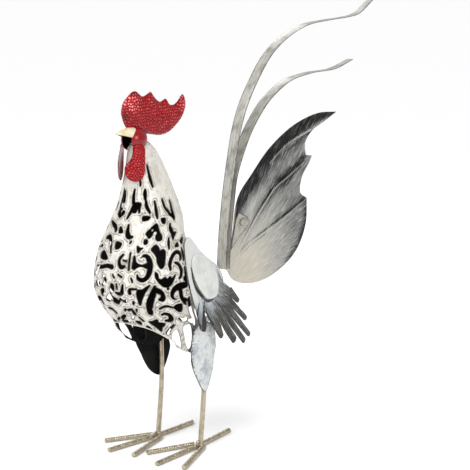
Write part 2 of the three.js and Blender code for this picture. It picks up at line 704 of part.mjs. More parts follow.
function thigh(side) {
  const outline = rounded(grown(THIGH[side]), 20);
  return pressed([outline], thighFace, (y, z) => thighFace(y, z) + PLATE, 4, 6);
}

/** One leg rod, which stands on its foot's long toe. */
function leg() {
  const foot = new THREE.Vector3(LEG_X, 0, ROD + AIR);
  const above = [[7, 73], [6.4, 112], [6.4, 122]].map(([y, z]) => (
    new THREE.Vector3(LEG_X, y * GROW, z * GROW)
  ));
  return solidOf(rod([foot, ...above], ROD, 6));
}

// Each toe's turn from straight ahead, outward in degrees, and its reach from the ankle.
const FEET = {
  left: { front: [2, 83], back: [-6, 64], outer: [25, 83], inner: [-27.5, 66] },
  right: { front: [6.5, 77.5], back: [-1, 64], outer: [34, 64], inner: [-18.6, 79] },
};

/** A point on the floor toes' level, ahead of the left ankle by a turn and a reach. */
function toePoint(turn, reach) {
  const angle = THREE.MathUtils.degToRad(turn);
  return new THREE.Vector3(
    LEG_X + Math.sin(angle) * reach * GROW,
    -Math.cos(angle) * reach * GROW,
    ROD / 2,
  );
}

/** The long toe: one rod from the back toe's tip under the leg to the front toe's tip. */
function longToe({ front, back }) {
  const rear = toePoint(back[0], back[1]);
  rear.y *= -1;
  return solidOf(rod([rear, toePoint(0, 0), toePoint(...front)], ROD, 4));
}

/** A side toe, which starts beside the long one at the ankle. */
function sideToe([turn, reach]) {
  const start = toePoint(0, 0);
  start.x += Math.sign(turn) * (1.1 * ROD + AIR);
  start.y -= ROD / 2;
  const tip = toePoint(turn, reach);
  return solidOf(rod([start, tip], ROD, 1));
}

/** A flat ribbon bent through [y, z] points, its width along X. */
function ribbon(points, steps) {
  const curve = new THREE.CatmullRomCurve3(points.map(([y, z]) => new THREE.Vector3(0, y, z)));
  const at = (off) => (u, v) => {
    const point = curve.getPointAt(v).multiplyScalar(GROW);
    const along = curve.getTangentAt(v);
    const taper = 1 - 0.3 * Math.max(0, (v - 0.8) / 0.2);
    point.addScaledVector(new THREE.Vector3(0, -along.z, along.y), off);
    return point.setX((u - 0.5) * RIBBON_WIDTH * taper);
  };
  const half = RIBBON_PLATE / 2;
  return solidOf(wall(1, steps, at(-half), at(half)));
}

const LONG_RIBBON = [
  [82, 191], [84, 222], [91, 270], [100, 312], [112, 355], [125, 382], [145, 409], [172, 437],
  [205, 457], [250, 472], [305, 478], [348, 481], [374, 485], [409, 502],
];
const SHORT_RIBBON = [
  [88.5, 191], [91, 222], [98, 268], [104.4, 299], [117.5, 326], [136, 353], [164, 380],
  [185, 393], [216, 406], [262, 413], [319, 416], [361, 426],
];

// The tail sheet stands in the bird's middle plane. Its outline runs in smooth edges between
// corners: up the front, back under the tip, past two hooked points and round below.
const TAIL_EDGES = [
  {
    points: [
      [90.4, 190], [102, 226], [113, 271], [144, 299], [178, 325], [229, 349], [285, 361], [330, 360],
    ],
    steps: 12,
  },
  { points: [[330, 360], [297, 348], [273, 340], [257, 325], [259, 310]], steps: 6 },
  { points: [[259, 310], [273, 308]], steps: 1 },
  { points: [[273, 308], [266, 299], [250, 282], [247, 264], [262, 255]], steps: 6 },
  {
    points: [[262, 255], [260, 222], [239, 191], [192, 169], [144, 164], [105, 174], [90.4, 190]],
    steps: 12,
  },
];
const VEINS = [
  { points: [[104, 196], [134, 212], [181, 227], [214, 238], [250, 251]], width: 5 },
  { points: [[108, 198], [136, 229], [162, 254], [191, 276], [219, 287], [253, 301]], width: 5 },
  { points: [[181, 308], [202, 321], [226, 331], [251, 337], [270, 341]], width: 4 },
];

/** Points along one smooth [y, z] edge, without its last one. */
function edgePoints({ points, steps }) {
  const curve = new THREE.CatmullRomCurve3(points.map(([y, z]) => new THREE.Vector3(y, z, 0)));
  return curve.getPoints(steps).slice(0, -1).map((p) => [p.x, p.y]);
}

/** A vein raised from the tail sheet's left face, tapering to both ends. */
function vein({ points, width }) {
  const steps = 5;
  const curve = new THREE.CatmullRomCurve3(points.map(([y, z]) => new THREE.Vector3(0, y, z)));
  const at = (high) => (u, v) => {
    const point = curve.getPoint(v).multiplyScalar(GROW);
    const along = curve.getTangent(v);
    const swell = 0.25 + 0.75 * Math.sin(Math.PI * v);
    const off = (u - 0.5) * width * swell * GROW;
    point.addScaledVector(new THREE.Vector3(0, -along.z, along.y), off);
    const ridge = 1 - Math.abs(2 * u - 1);
    return point.setX(TAIL_PLATE / 2 + (high ? 0.2 + 1.6 * ridge * swell * GROW : -0.3));
  };
  return solidOf(wall(2, steps, at(false), at(true)));
}

function tailSheet() {
  const outline = grown(TAIL_EDGES.flatMap(edgePoints));
  const sheet = solidOf(prism(outline, -TAIL_PLATE / 2, TAIL_PLATE / 2));
  return VEINS.reduce((all, one) => all.add(vein(one)), sheet);
}

// The stay that ties the ribbons to the tail sheet, and the long weld spot on its upper end.
const STAY = [[97, 210], [116, 226], [131, 234], [137, 241], [131, 248], [114, 255], [108, 246]];
const BOSS = { y: 124, z: 242, halfY: 9, halfZ: 4.8, depth: 1.8 };
const STAY_X = TAIL_PLATE / 2 + AIR;

function tailStay() {
  return solidOf(prism(grown(STAY), STAY_X, STAY_X + PLATE));
}

function tailBoss() {
  const seat = STAY_X + PLATE + AIR;
  const high = BOSS.depth * GROW;
  const button = new THREE.CylinderGeometry(0.7, 1, high, 16).rotateZ(-Math.PI / 2);
  button.scale(1, BOSS.halfY * GROW, BOSS.halfZ * GROW);
  return solidOf(button.translate(seat + high / 2, BOSS.y * GROW, BOSS.z * GROW));
}

// The scene: every piece under its own name, the pairs by one loop over the two sides.
const bird = new THREE.Group();

/** Adds one named piece in its paint. */
function add(name, geometry, paint) {
  const material = new THREE.MeshStandardMaterial({ ...PAINT[paint], flatShading: true });
  const mesh = new THREE.Mesh(geometry, material);
  mesh.name = name;
  bird.add(mesh);
}

add('body_shell', geometryOf(bodyShell()), 'cream');
add('hood', geometryOf(hood()), 'red');
add('beak', geometryOf(beak()), 'beak');
add('comb', geometryOf(comb()), 'red');

const PAIRS = [
  ['wattle', wattle, 'red'],
  ['wing', wing, 'steel'],
  ['covert', covert, 'cream'],
  ['leg', leg, 'legs'],
];
for (const [name, build, paint] of PAIRS) {
  const left = geometryOf(build());
  add(`${name}_left`, left, paint);
  add(`${name}_right`, mirrored(left), paint);
}

for (const side of ['left', 'right']) {
  const geometry = geometryOf(thigh(side));
  add(`thigh_${side}`, side === 'left' ? geometry : mirrored(geometry), 'cream');
}

for (const [side, toes] of Object.entries(FEET)) {
  const foot = {
    long_toe: longToe(toes),
    inner_toe: sideToe(toes.inner),
    outer_toe: sideToe(toes.outer),
  };
  for (const [name, toe] of Object.entries(foot)) {
    const geometry = geometryOf(toe);
    add(`${name}_${side}`, side === 'left' ? geometry : mirrored(geometry), 'legs');
  }
}

add('long_ribbon', geometryOf(ribbon(LONG_RIBBON, 20)), 'tail');
add('short_ribbon', geometryOf(ribbon(SHORT_RIBBON, 16)), 'tail');
add('tail_sheet', geometryOf(tailSheet()), 'tail');
add('tail_stay', geometryOf(tailStay()), 'tail');
add('tail_boss', geometryOf(tailBoss()), 'tail');

// The origin goes under the middle of the bird's outer box.
const box = new THREE.Box3().setFromObject(bird);
const middle = box.getCenter(new THREE.Vector3());
bird.position.set(-middle.x, -middle.y, -box.min.z);

const sculpture = new THREE.Group();
sculpture.add(bird);
export default sculpture;
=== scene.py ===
"""Looks of a rooster garden sculpture cut, pressed and welded from painted sheet metal.

Lengths in this file are millimetres on the bird as it is drawn: X to its left, -Y the way it
faces, Z up, the ankles at Y = 0. Bench.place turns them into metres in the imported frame.
"""

import logging
import math
from dataclasses import dataclass, field
from enum import Enum
from typing import Sequence

import bpy
import numpy as np
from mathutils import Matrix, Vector
from mathutils.geometry import delaunay_2d_cdt


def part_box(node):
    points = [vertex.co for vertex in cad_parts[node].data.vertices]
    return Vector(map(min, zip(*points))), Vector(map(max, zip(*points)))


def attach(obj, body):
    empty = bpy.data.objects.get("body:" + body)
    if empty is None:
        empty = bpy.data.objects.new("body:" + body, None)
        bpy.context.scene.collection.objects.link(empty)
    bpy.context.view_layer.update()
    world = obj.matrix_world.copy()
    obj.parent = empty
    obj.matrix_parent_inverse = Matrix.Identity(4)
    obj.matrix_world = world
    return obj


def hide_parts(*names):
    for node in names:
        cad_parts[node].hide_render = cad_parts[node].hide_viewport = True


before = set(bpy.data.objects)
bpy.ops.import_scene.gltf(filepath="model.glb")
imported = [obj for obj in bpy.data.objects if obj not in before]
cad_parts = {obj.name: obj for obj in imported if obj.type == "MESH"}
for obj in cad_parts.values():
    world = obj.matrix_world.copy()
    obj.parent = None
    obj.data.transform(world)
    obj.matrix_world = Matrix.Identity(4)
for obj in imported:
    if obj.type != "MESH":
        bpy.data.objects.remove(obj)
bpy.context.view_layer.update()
LOG = logging.getLogger("rooster")

Array = np.ndarray
Points = Sequence[Sequence[float]]
Node = bpy.types.Node
NodeTree = bpy.types.NodeTree
Socket = bpy.types.NodeSocket
Material = bpy.types.Material
Piece = bpy.types.Object

MM_PER_METRE = 1000
FAR = 1e9
TINY = 1e-12
# Rows of a hexagonal pattern lie this share of its pitch apart.
HEX_ROW = 0.87
# Millimetres that stand for no cut near by, and for metal without a worn edge.
FREE = 7.0
PLAIN = 9.0
COAT_ROUGH = 0.12
SHEET_CREASE = math.radians(48)
ROD_CREASE = math.radians(60)


def unit(values: Array) -> Array:
    """Values held between 0 and 1."""
    return np.clip(values, 0, 1)


class Side(Enum):
    """The bird's own left, which is +X, and its right."""

    LEFT = 1
    RIGHT = -1

    @property
    def label(self) -> str:
        """The side's word in node names."""
        return self.name.lower()


def knot_step(first: Array, second: Array) -> float:
    """Knot step between two points of a centripetal curve."""
    return max(float(np.sum((second[:2] - first[:2]) ** 2)) ** 0.25, 1e-4)


def smooth_path(points: Points, per: int = 6, closed: bool = False) -> Array:
    """Smooth curve through points, any further columns such as a width carried along.

    Args:
        points: Rows that start with two coordinates.
        per: Steps between two neighbours.
        closed: Whether the curve runs round and meets itself.

    Returns:
        The curve's points; a closed one doesn't repeat its first.
    """
    rows = np.asarray(points, float)
    count = len(rows)
    made = []
    for i in range(count if closed else count - 1):
        p1, p2 = rows[i], rows[(i + 1) % count]
        if closed:
            p0, p3 = rows[i - 1], rows[(i + 2) % count]
        else:
            p0 = rows[i - 1] if i > 0 else 2 * p1 - p2
            p3 = rows[i + 2] if i + 2 < count else 2 * p2 - p1
        s0, s1, s2 = knot_step(p0, p1), knot_step(p1, p2), knot_step(p2, p3)
        m1 = ((p1 - p0) / s0 - (p2 - p0) / (s0 + s1) + (p2 - p1) / s1) * s1
        m2 = ((p2 - p1) / s1 - (p3 - p1) / (s1 + s2) + (p3 - p2) / s2) * s1
        for k in range(per):
            t = k / per
            made.append(
                (2 * t**3 - 3 * t**2 + 1) * p1 + (t**3 - 2 * t**2 + t) * m1
                + (3 * t**2 - 2 * t**3) * p2 + (t**3 - t**2) * m2
            )
    if not closed:
        made.append(rows[-1])
    return np.array(made)


def inside_loop(x: Array, y: Array, loop: Array) -> Array:
    """Distance inside a closed outline, negative outside it.

    Args:
        x: First coordinates.
        y: Second coordinates.
        loop: The outline's points.

    Returns:
        One distance for each place.
    """
    best = np.full(np.shape(x), FAR)
    held = np.zeros(np.shape(x), bool)
    for (ax, ay), (bx, by) in zip(loop[:, :2], np.roll(loop[:, :2], -1, axis=0)):
        dx, dy = bx - ax, by - ay
        t = unit(((x - ax) * dx + (y - ay) * dy) / (dx * dx + dy * dy + TINY))
        best = np.minimum(best, (x - ax - t * dx) ** 2 + (y - ay - t * dy) ** 2)
        across = (ay > y) != (by > y)
        held ^= across & (x < ax + (y - ay) * dx / (dy if dy else TINY))
    return np.where(held, 1, -1) * np.sqrt(best)


def segment_distance(x: Array, y: Array, a: Array, b: Array) -> tuple[Array, Array]:
    """How far along a segment from 0 to 1 the nearest place is, and how far off it lies.

    Args:
        x: First coordinates.
        y: Second coordinates.
        a: The segment's start.
        b: The segment's end.

    Returns:
        The shares along the segment and the distances to it.
    """
    dx, dy = b[0] - a[0], b[1] - a[1]
    t = unit(((x - a[0]) * dx + (y - a[1]) * dy) / (dx * dx + dy * dy + TINY))
    return t, np.hypot(x - a[0] - t * dx, y - a[1] - t * dy)


def inside_stroke(x: Array, y: Array, path: Array) -> Array:
    """Distance inside a stroke, negative outside it.

    Args:
        x: First coordinates.
        y: Second coordinates.
        path: The stroke's points, each with its width as a third number.

    Returns:
        One distance for each place.
    """
    best = np.full(np.shape(x), -FAR)
    for a, b in zip(path[:-1], path[1:]):
        t, away = segment_distance(x, y, a, b)
        best = np.maximum(best, (a[2] + (b[2] - a[2]) * t) / 2 - away)
    return best


def path_distance(x: Array, y: Array, path: Array) -> tuple[Array, Array]:
    """Distance to an open path, and how far along it the nearest place is.

    Args:
        x: First coordinates.
        y: Second coordinates.
        path: The path's points.

    Returns:
        The distances, and the shares of the path's length from 0 to 1.
    """
    best = np.full(np.shape(x), FAR)
    along = np.zeros(np.shape(x))
    steps = np.hypot(*np.diff(path[:, :2], axis=0).T)
    walked = np.concatenate([[0], np.cumsum(steps)])
    for i, (a, b) in enumerate(zip(path[:-1], path[1:])):
        t, away = segment_distance(x, y, a, b)
        nearer = away < best
        best = np.where(nearer, away, best)
        along = np.where(nearer, (walked[i] + t * steps[i]) / walked[-1], along)
    return best, along


def pebbles(x: Array, y: Array, pitch: float, seed: int) -> Array:
    """Height of close-set hammered bumps with creases between them.

    Args:
        x: First coordinates.
        y: Second coordinates.
        pitch: Distance from bump to bump.
        seed: Seed of the bumps' scatter.

    Returns:
        One height for each place, 0 in a crease and 1 on a bump.
    """
    rng = np.random.default_rng(seed)
    scatter, crease = 0.3, 0.62
    x0, y0 = x.min() - 2 * pitch, y.min() - 2 * pitch
    cols = int((x.max() - x0) / pitch) + 3
    rows = int((y.max() - y0) / pitch / HEX_ROW) + 3
    i, j = np.meshgrid(np.arange(cols), np.arange(rows))
    seeds = np.stack([x0 + (i + 0.5 * (j % 2)) * pitch, y0 + j * HEX_ROW * pitch], -1)
    seeds = seeds.reshape(-1, 2) + rng.uniform(-scatter, scatter, (cols * rows, 2)) * pitch
    first, second = np.full(x.shape, FAR), np.full(x.shape, FAR)
    for sx, sy in seeds:
        away = np.hypot(x - sx, y - sy)
        second = np.minimum(second, np.maximum(first, away))
        first = np.minimum(first, away)
    return 1 - (1 - unit((second - first) / (crease * pitch))) ** 2


def grid_triangles(rows: int, columns: int) -> Array:
    """Triangles of a grid of points laid row by row.

    Args:
        rows: Rows of points.
        columns: Points in a row.

    Returns:
        Rows of three point numbers.
    """
    grid = np.arange(rows * columns).reshape(rows, columns)
    quads = np.stack([grid[:-1, :-1], grid[:-1, 1:], grid[1:, 1:], grid[1:, :-1]], -1)
    quads = quads.reshape(-1, 4)
    return np.concatenate([quads[:, [0, 1, 2]], quads[:, [0, 2, 3]]])


@dataclass
class Blank:
    """A flat cut blank.

    Args:
        points: Its points on the flat.
        triangles: Rows of three point numbers.
        depth: How deep each point lies in the metal, from the nearest cut edge.
        inked: Which triangles are painted black, where some are; they stand for small holes, the
            black partly the inside's paint and partly painted shade of the hollow seen through
            them.
        sunk: How far each point lies inside a blackened place, where there are some.
    """

    points: Array
    triangles: Array
    depth: Array
    inked: Array | None = None
    sunk: Array | None = None


@dataclass
class Cutting:
    """A field on a flat grid that is positive where there is metal.

    Args:
        xs: The grid's first coordinates.
        ys: The grid's second coordinates.
        field: One value for each node, a row for each of ys.
        wrap: Whether the first column is the last one again, as round a tube.
    """

    xs: Array
    ys: Array
    field: Array
    wrap: bool = False

    def soften(self, reach: float) -> None:
        """Rounds the corners of the cuts by blurring the field.

        Args:
            reach: Reach of the blur in millimetres.
        """
        cells = reach / (self.ys[1] - self.ys[0])
        half = int(3 * cells) + 1
        taps = np.exp(-0.5 * (np.arange(-half, half + 1) / cells) ** 2)
        taps /= taps.sum()
        for axis in (0, 1):
            mode = "wrap" if self.wrap and axis == 1 else "edge"
            pad = [(half, half) if k == axis else (0, 0) for k in (0, 1)]
            source = self.field[:, :-1] if mode == "wrap" else self.field
            padded = np.pad(source, pad, mode=mode)
            span = source.shape[axis]
            made = sum(
                w * np.take(padded, range(k, k + span), axis=axis) for k, w in enumerate(taps)
            )
            self.field = np.concatenate([made, made[:, :1]], 1) if mode == "wrap" else made

    def at(self, points: Array) -> Array:
        """The field at points, read between the grid's nodes.

        Args:
            points: Places on the grid.

        Returns:
            One value for each.
        """
        u = (points[:, 0] - self.xs[0]) / (self.xs[1] - self.xs[0])
        v = (points[:, 1] - self.ys[0]) / (self.ys[1] - self.ys[0])
        u = np.clip(u, 0, len(self.xs) - 1.001)
        v = np.clip(v, 0, len(self.ys) - 1.001)
        i, j = u.astype(int), v.astype(int)
        u, v = u - i, v - j
        f = self.field
        low = f[j, i] * (1 - u) + f[j, i + 1] * u
        high = f[j + 1, i] * (1 - u) + f[j + 1, i + 1] * u
        return low * (1 - v) + high * v

    def outline(self) -> tuple[list[tuple[float, float]], list[tuple[int, int]]]:
        """The cut edges, each a crossing of the grid's lines joined to the next.

        Returns:
            The edges' points and the pairs of points that they join.
        """
        least, most = 0.1, 0.9
        f, xs, ys = self.field, self.xs, self.ys
        points: list[tuple[float, float]] = []
        flat = np.full((len(ys), len(xs) - 1), -1)
        for j, i in zip(*np.nonzero((f[:, :-1] > 0) != (f[:, 1:] > 0))):
            t = min(max(f[j, i] / (f[j, i] - f[j, i + 1]), least), most)
            flat[j, i] = len(points)
            points.append((xs[i] + t * (xs[i + 1] - xs[i]), ys[j]))
        steep = np.full((len(ys) - 1, len(xs)), -1)
        for j, i in zip(*np.nonzero((f[:-1] > 0) != (f[1:] > 0))):
            t = min(max(f[j, i] / (f[j, i] - f[j + 1, i]), least), most)
            steep[j, i] = len(points)
            points.append((xs[i], ys[j] + t * (ys[j + 1] - ys[j])))
        sides = np.stack([flat[:-1], steep[:, 1:], flat[1:], steep[:, :-1]], -1)
        crossed = (sides >= 0).sum(-1)
        pairs: list[tuple[int, int]] = []
        for j, i in zip(*np.nonzero(crossed)):
            below, right, above, left = (int(k) for k in sides[j, i])
            if crossed[j, i] == 2:
                first, second = (k for k in (below, right, above, left) if k >= 0)
                pairs.append((first, second))
                continue
            solid = f[j : j + 2, i : i + 2].sum() > 0
            if solid == bool(f[j, i] > 0):
                pairs += [(below, right), (above, left)]
            else:
                pairs += [(below, left), (right, above)]
        if self.wrap:
            for i in (0, len(xs) - 1):
                ids = {}
                for j in np.nonzero(f[:, i] > 0)[0]:
                    ids[int(j)] = len(points)
                    points.append((xs[i], ys[j]))
                for j in range(len(ys) - 1):
                    ends = [ids[k] for k in (j, j + 1) if k in ids]
                    if steep[j, i] >= 0:
                        ends.append(int(steep[j, i]))
                    if len(ends) == 2:
                        pairs.append((ends[0], ends[1]))
        return points, pairs

    def blank(self, step: float, ring: float, pressed: "Cutting | None" = None) -> Blank:
        """Triangulates the metal.

        Args:
            step: Distance between the points laid inside the metal.
            ring: How far inside the edges a second row of points follows them.
            pressed: A field that is negative where the metal is pressed in and blackened in place
                of a hole, the black partly the inside's paint and partly painted shade.

        Returns:
            The flat blank.
        """
        edge, pairs = self.outline()
        rim = np.array(edge)
        dx, dy = self.xs[1] - self.xs[0], self.ys[1] - self.ys[0]
        slope = np.stack([
            (self.at(rim + (dx, 0)) - self.at(rim - (dx, 0))) / (2 * dx),
            (self.at(rim + (0, dy)) - self.at(rim - (0, dy))) / (2 * dy),
        ], -1)
        moved = rim + slope * ring / np.maximum((slope**2).sum(1), 0.05)[:, None]
        found = self.at(moved)
        margin = 0.4 * step
        inner = (moved[:, 0] > self.xs[0] + margin) & (moved[:, 0] < self.xs[-1] - margin)
        moved = moved[(found > 0.6 * ring) & (found < 1.7 * ring) & inner]
        rows = np.arange(self.ys[0], self.ys[-1], step * HEX_ROW)
        ends = self.xs[0], self.xs[-1] - margin
        hexes = np.array([
            (x, y)
            for k, y in enumerate(rows)
            for x in np.arange(ends[0] + (0.5 + 0.5 * (k % 2)) * step, ends[1], step)
        ])
        hexes = hexes[self.at(hexes) > ring + 0.35 * step]
        cloud = np.concatenate([rim, moved, hexes])
        if pressed:
            lines, joins = pressed.outline()
            pairs += [(a + len(cloud), b + len(cloud)) for a, b in joins]
            cloud = np.concatenate([cloud, np.array(lines)])
        found = delaunay_2d_cdt([Vector(p) for p in cloud], pairs, [], 0, 1e-6, False)
        points = np.array([tuple(p) for p in found[0]])
        triangles = np.array([tuple(t) for t in found[2]])
        triangles = triangles[self.at(points[triangles].mean(1)) > 0]
        made = Blank(points, triangles, np.maximum(self.at(points), 0))
        if pressed:
            made.inked = pressed.at(points[triangles].mean(1)) < 0
            made.sunk = np.maximum(-pressed.at(points), 0)
        return made


def flat_cutting(loops: Sequence[Array], cell: float, soft: float) -> Cutting:
    """Field of a plate made of overlapping closed outlines.

    Args:
        loops: The outlines.
        cell: Side of one cell of the grid.
        soft: Reach of the rounding at its corners.

    Returns:
        The plate's field.
    """
    margin = 3
    every = np.concatenate([loop[:, :2] for loop in loops])
    low, high = every.min(0) - margin, every.max(0) + margin
    xs = np.arange(low[0], high[0] + cell, cell)
    ys = np.arange(low[1], high[1] + cell, cell)
    x, y = np.meshgrid(xs, ys)
    made = Cutting(xs, ys, np.max([inside_loop(x, y, loop) for loop in loops], axis=0))
    made.soften(soft)
    return made


@dataclass(frozen=True)
class Finish:
    """A metal finish made of a few painted layers.

    Args:
        name: The material's name.
        base: The main colour.
        shade: The colour of its broad soft patches.
        chip: The colour that shows through chips and along edges.
        chips: How much of the face is chipped, from 0 to 1.
        edge: How far from a cut edge the dark line reaches, in millimetres.
        graved: How far in from a cut edge an engraved line follows it; 0 for none.
        grain: Size of one patch, in millimetres.
        stretch: How many times longer than wide the scratches run.
        streak: Strength of the scratches, from 0 to 1.
        metallic: Metallic share.
        rough: Roughness.
        shine: Level of the plain reflection.
        coat: Weight of the clear lacquer.
        bump: Height of the fine grain, in millimetres.
    """

    name: str
    base: tuple[float, float, float]
    shade: tuple[float, float, float]
    chip: tuple[float, float, float]
    chips: float = 0.2
    edge: float = 0.6
    graved: float = 0.0
    grain: float = 14.0
    stretch: float = 8.0
    streak: float = 0.4
    metallic: float = 0.0
    rough: float = 0.45
    shine: float = 0.4
    coat: float = 0.0
    bump: float = 0.12

    def build(self) -> Material:
        """Builds the material's nodes."""
        return Painter(self).finish()


def linear(colour: Sequence[float]) -> tuple[float, float, float, float]:
    """A display colour as a shader colour.

    Args:
        colour: Red, green and blue from 0 to 255.

    Returns:
        The colour's linear parts and its alpha.
    """
    parts = [c / 255 for c in colour]
    parts = [c / 12.92 if c <= 0.04045 else ((c + 0.055) / 1.055) ** 2.4 for c in parts]
    return (parts[0], parts[1], parts[2], 1.0)


def sum_node(tree: NodeTree, work: str, *values: object) -> Socket:
    """Adds one sum to a node tree.

    Args:
        tree: The tree.
        work: The sum's kind.
        *values: What it works on, each a socket or a number.

    Returns:
        The result socket.
    """
    made = tree.nodes.new("ShaderNodeMath")
    made.operation = work
    for slot, value in zip(made.inputs, values):
        if isinstance(value, (int, float)):
            slot.default_value = value
        else:
            tree.links.new(value, slot)
    return made.outputs[0]


class Painter:
    """Lays one finish's nodes."""

    def __init__(self, finish: Finish) -> None:
        """Starts an empty material for the finish.

        Args:
            finish: What is painted.
        """
        self.spec = finish
        self.material = bpy.data.materials.new(finish.name)
        self.material.use_nodes = True
        self.tree = self.material.node_tree
        self.tree.nodes.clear()
        self.place = self.node("ShaderNodeAttribute", attribute_name="grain").outputs["Vector"]

    def node(self, kind: str, **settings: object) -> Node:
        """Adds a node.

        Args:
            kind: The node's type.
            **settings: Its plain settings by name.

        Returns:
            The node.
        """
        made = self.tree.nodes.new(kind)
        for key, value in settings.items():
            setattr(made, key, value)
        return made

    def link(self, source: Socket, target: Socket) -> None:
        """Joins two sockets."""
        self.tree.links.new(source, target)

    def noise(self, size: float, detail: float, stretch: float = 1.0, seed: float = 0.0) -> Socket:
        """Noise drawn out along the metal's grain.

        Args:
            size: Size of a patch, in millimetres.
            detail: Octaves of finer noise.
            stretch: How many times longer than wide a patch is.
            seed: Shifts the pattern, so that two layers differ.

        Returns:
            The factor socket.
        """
        mapping = self.node("ShaderNodeMapping", vector_type="TEXTURE")
        self.link(self.place, mapping.inputs["Vector"])
        mapping.inputs["Scale"].default_value = (1, stretch, 1)
        mapping.inputs["Location"].default_value = (90 * seed, 37 * seed, 71 * seed)
        made = self.node("ShaderNodeTexNoise")
        made.inputs["Scale"].default_value = 1 / size
        made.inputs["Detail"].default_value = detail
        made.inputs["Roughness"].default_value = 0.62
        self.link(mapping.outputs["Vector"], made.inputs["Vector"])
        return made.outputs["Fac"]

    def ramp(
        self, source: Socket, low: float, high: float, first: float = 0.0,
        last: float = 1.0,
    ) -> Socket:
        """Smooth step of a value from low to high.

        Args:
            source: The value.
            low: Where the step starts.
            high: Where it ends.
            first: What comes out below it.
            last: What comes out above it.

        Returns:
            The result socket.
        """
        made = self.node("ShaderNodeMapRange", interpolation_type="SMOOTHSTEP")
        self.link(source, made.inputs["Value"])
        for key, value in zip(("From Min", "From Max", "To Min", "To Max"),
                              (low, high, first, last)):
            made.inputs[key].default_value = value
        return made.outputs["Result"]

    def math(self, work: str, first: Socket | float, second: Socket | float = 0.0) -> Socket:
        """One sum on two values, each a socket or a number."""
        return sum_node(self.tree, work, first, second)

    def mix(self, amount: Socket, first: object, second: object) -> Socket:
        """Blend of two colours, each a socket or a display colour.

        Args:
            amount: Share of the second colour.
            first: The first colour.
            second: The second colour.

        Returns:
            The colour socket.
        """
        made = self.node("ShaderNodeMix", data_type="RGBA")
        self.link(amount, made.inputs["Factor"])
        for key, value in (("A", first), ("B", second)):
            slot = [s for s in made.inputs if s.name == key and s.type == "RGBA"][0]
            if isinstance(value, tuple):
                slot.default_value = linear(value)
            else:
                self.link(value, slot)
        return [s for s in made.outputs if s.type == "RGBA"][0]

    def attribute(self, name: str) -> Socket:
        """A value carried by the mesh."""
        return self.node("ShaderNodeAttribute", attribute_name=name).outputs["Fac"]

    def layers(self) -> Socket:
        """The finish's colour: base, soft patches, scratches, chips and dark edges.

        Returns:
            The colour socket.
        """
        spec = self.spec
        patches = self.ramp(self.noise(spec.grain, 4), 0.42, 0.68)
        colour = self.mix(patches, spec.base, spec.shade)
        scratch = self.noise(spec.grain * 0.12, 3, spec.stretch, 3.0)
        scratch = self.math("MULTIPLY", self.ramp(scratch, 0.5, 0.78), spec.streak)
        colour = self.mix(scratch, colour, spec.chip)
        specks = self.noise(spec.grain * 0.17, 5, 1.6, 7.0)
        start = 0.78 - 0.3 * spec.chips
        specks = self.math("MULTIPLY", self.ramp(specks, start, start + 0.07), 0.75)
        colour = self.mix(specks, colour, spec.chip)
        if spec.graved > 0:
            off = self.math("SUBTRACT", self.attribute("edge"), spec.graved)
            line = self.ramp(self.math("ABSOLUTE", off), 0.8, 0.1)
            broken = self.ramp(self.noise(spec.grain * 0.5, 3, 1.0, 17.0), 0.38, 0.54)
            line = self.math("MULTIPLY", self.math("MULTIPLY", line, broken), 0.8)
            colour = self.mix(line, colour, spec.chip)
        if spec.edge > 0:
            worn = self.math("MULTIPLY", self.noise(spec.grain * 0.3, 3, 1.0, 11.0), 2.4)
            reach = self.math("DIVIDE", self.attribute("edge"), spec.edge)
            line = self.math("SUBTRACT", worn, reach)
            line = self.math("MULTIPLY", self.ramp(line, 0.0, 1.0), 0.8)
            colour = self.mix(line, colour, spec.chip)
        return self.with_dark_wear_and_shade(colour)

    def with_dark_wear_and_shade(self, colour: Socket) -> Socket:
        """The colour with the mesh's dark chips, painted shadow and painted shade over it, broken
        up by fine noise.

        Args:
            colour: The colour under the dark chips and painted shade.

        Returns:
            The colour socket.
        """
        # Near-black laid over dark chips, and over painted shadow and painted shade, wherever the
        # mesh carries them.
        ragged = self.math("ADD", self.noise(1.6, 3, 2.0, 13.0), 0.5)
        return self.mix(self.math("MULTIPLY", self.attribute("dark_wear_and_shade"), ragged), colour,
                        (20, 19, 17))

    def finish(self) -> Material:
        """Joins the colour and the grain to the shader.

        Returns:
            The finished material.
        """
        spec = self.spec
        shader = self.node("ShaderNodeBsdfPrincipled")
        out = self.node("ShaderNodeOutputMaterial")
        self.link(shader.outputs[0], out.inputs[0])
        self.link(self.layers(), shader.inputs["Base Color"])
        shader.inputs["Metallic"].default_value = spec.metallic
        shader.inputs["Specular IOR Level"].default_value = spec.shine
        shader.inputs["Coat Weight"].default_value = spec.coat
        shader.inputs["Coat Roughness"].default_value = COAT_ROUGH
        rough = self.noise(spec.grain * 0.4, 3, spec.stretch * 0.5, 5.0)
        rough = self.ramp(rough, 0.2, 0.8, spec.rough - 0.1, spec.rough + 0.12)
        self.link(rough, shader.inputs["Roughness"])
        bump = self.node("ShaderNodeBump")
        bump.inputs["Distance"].default_value = spec.bump / MM_PER_METRE
        bump.inputs["Strength"].default_value = 0.6
        grain = self.noise(spec.grain * 0.09, 4, spec.stretch * 0.4, 9.0)
        self.link(grain, bump.inputs["Height"])
        self.link(bump.outputs[0], shader.inputs["Normal"])
        return self.material


@dataclass(frozen=True)
class Enamel(Finish):
    """Gloss enamel over a hammered face: painted shade dark in the dimples and painted glints pale
    on the crowns.

    Args:
        crown: The colour of the painted glints on the bumps' crowns.
    """

    crown: tuple[float, float, float] = (214, 118, 116)

    def build(self) -> Material:
        """Builds the enamel's nodes."""
        return EnamelPainter(self).finish()


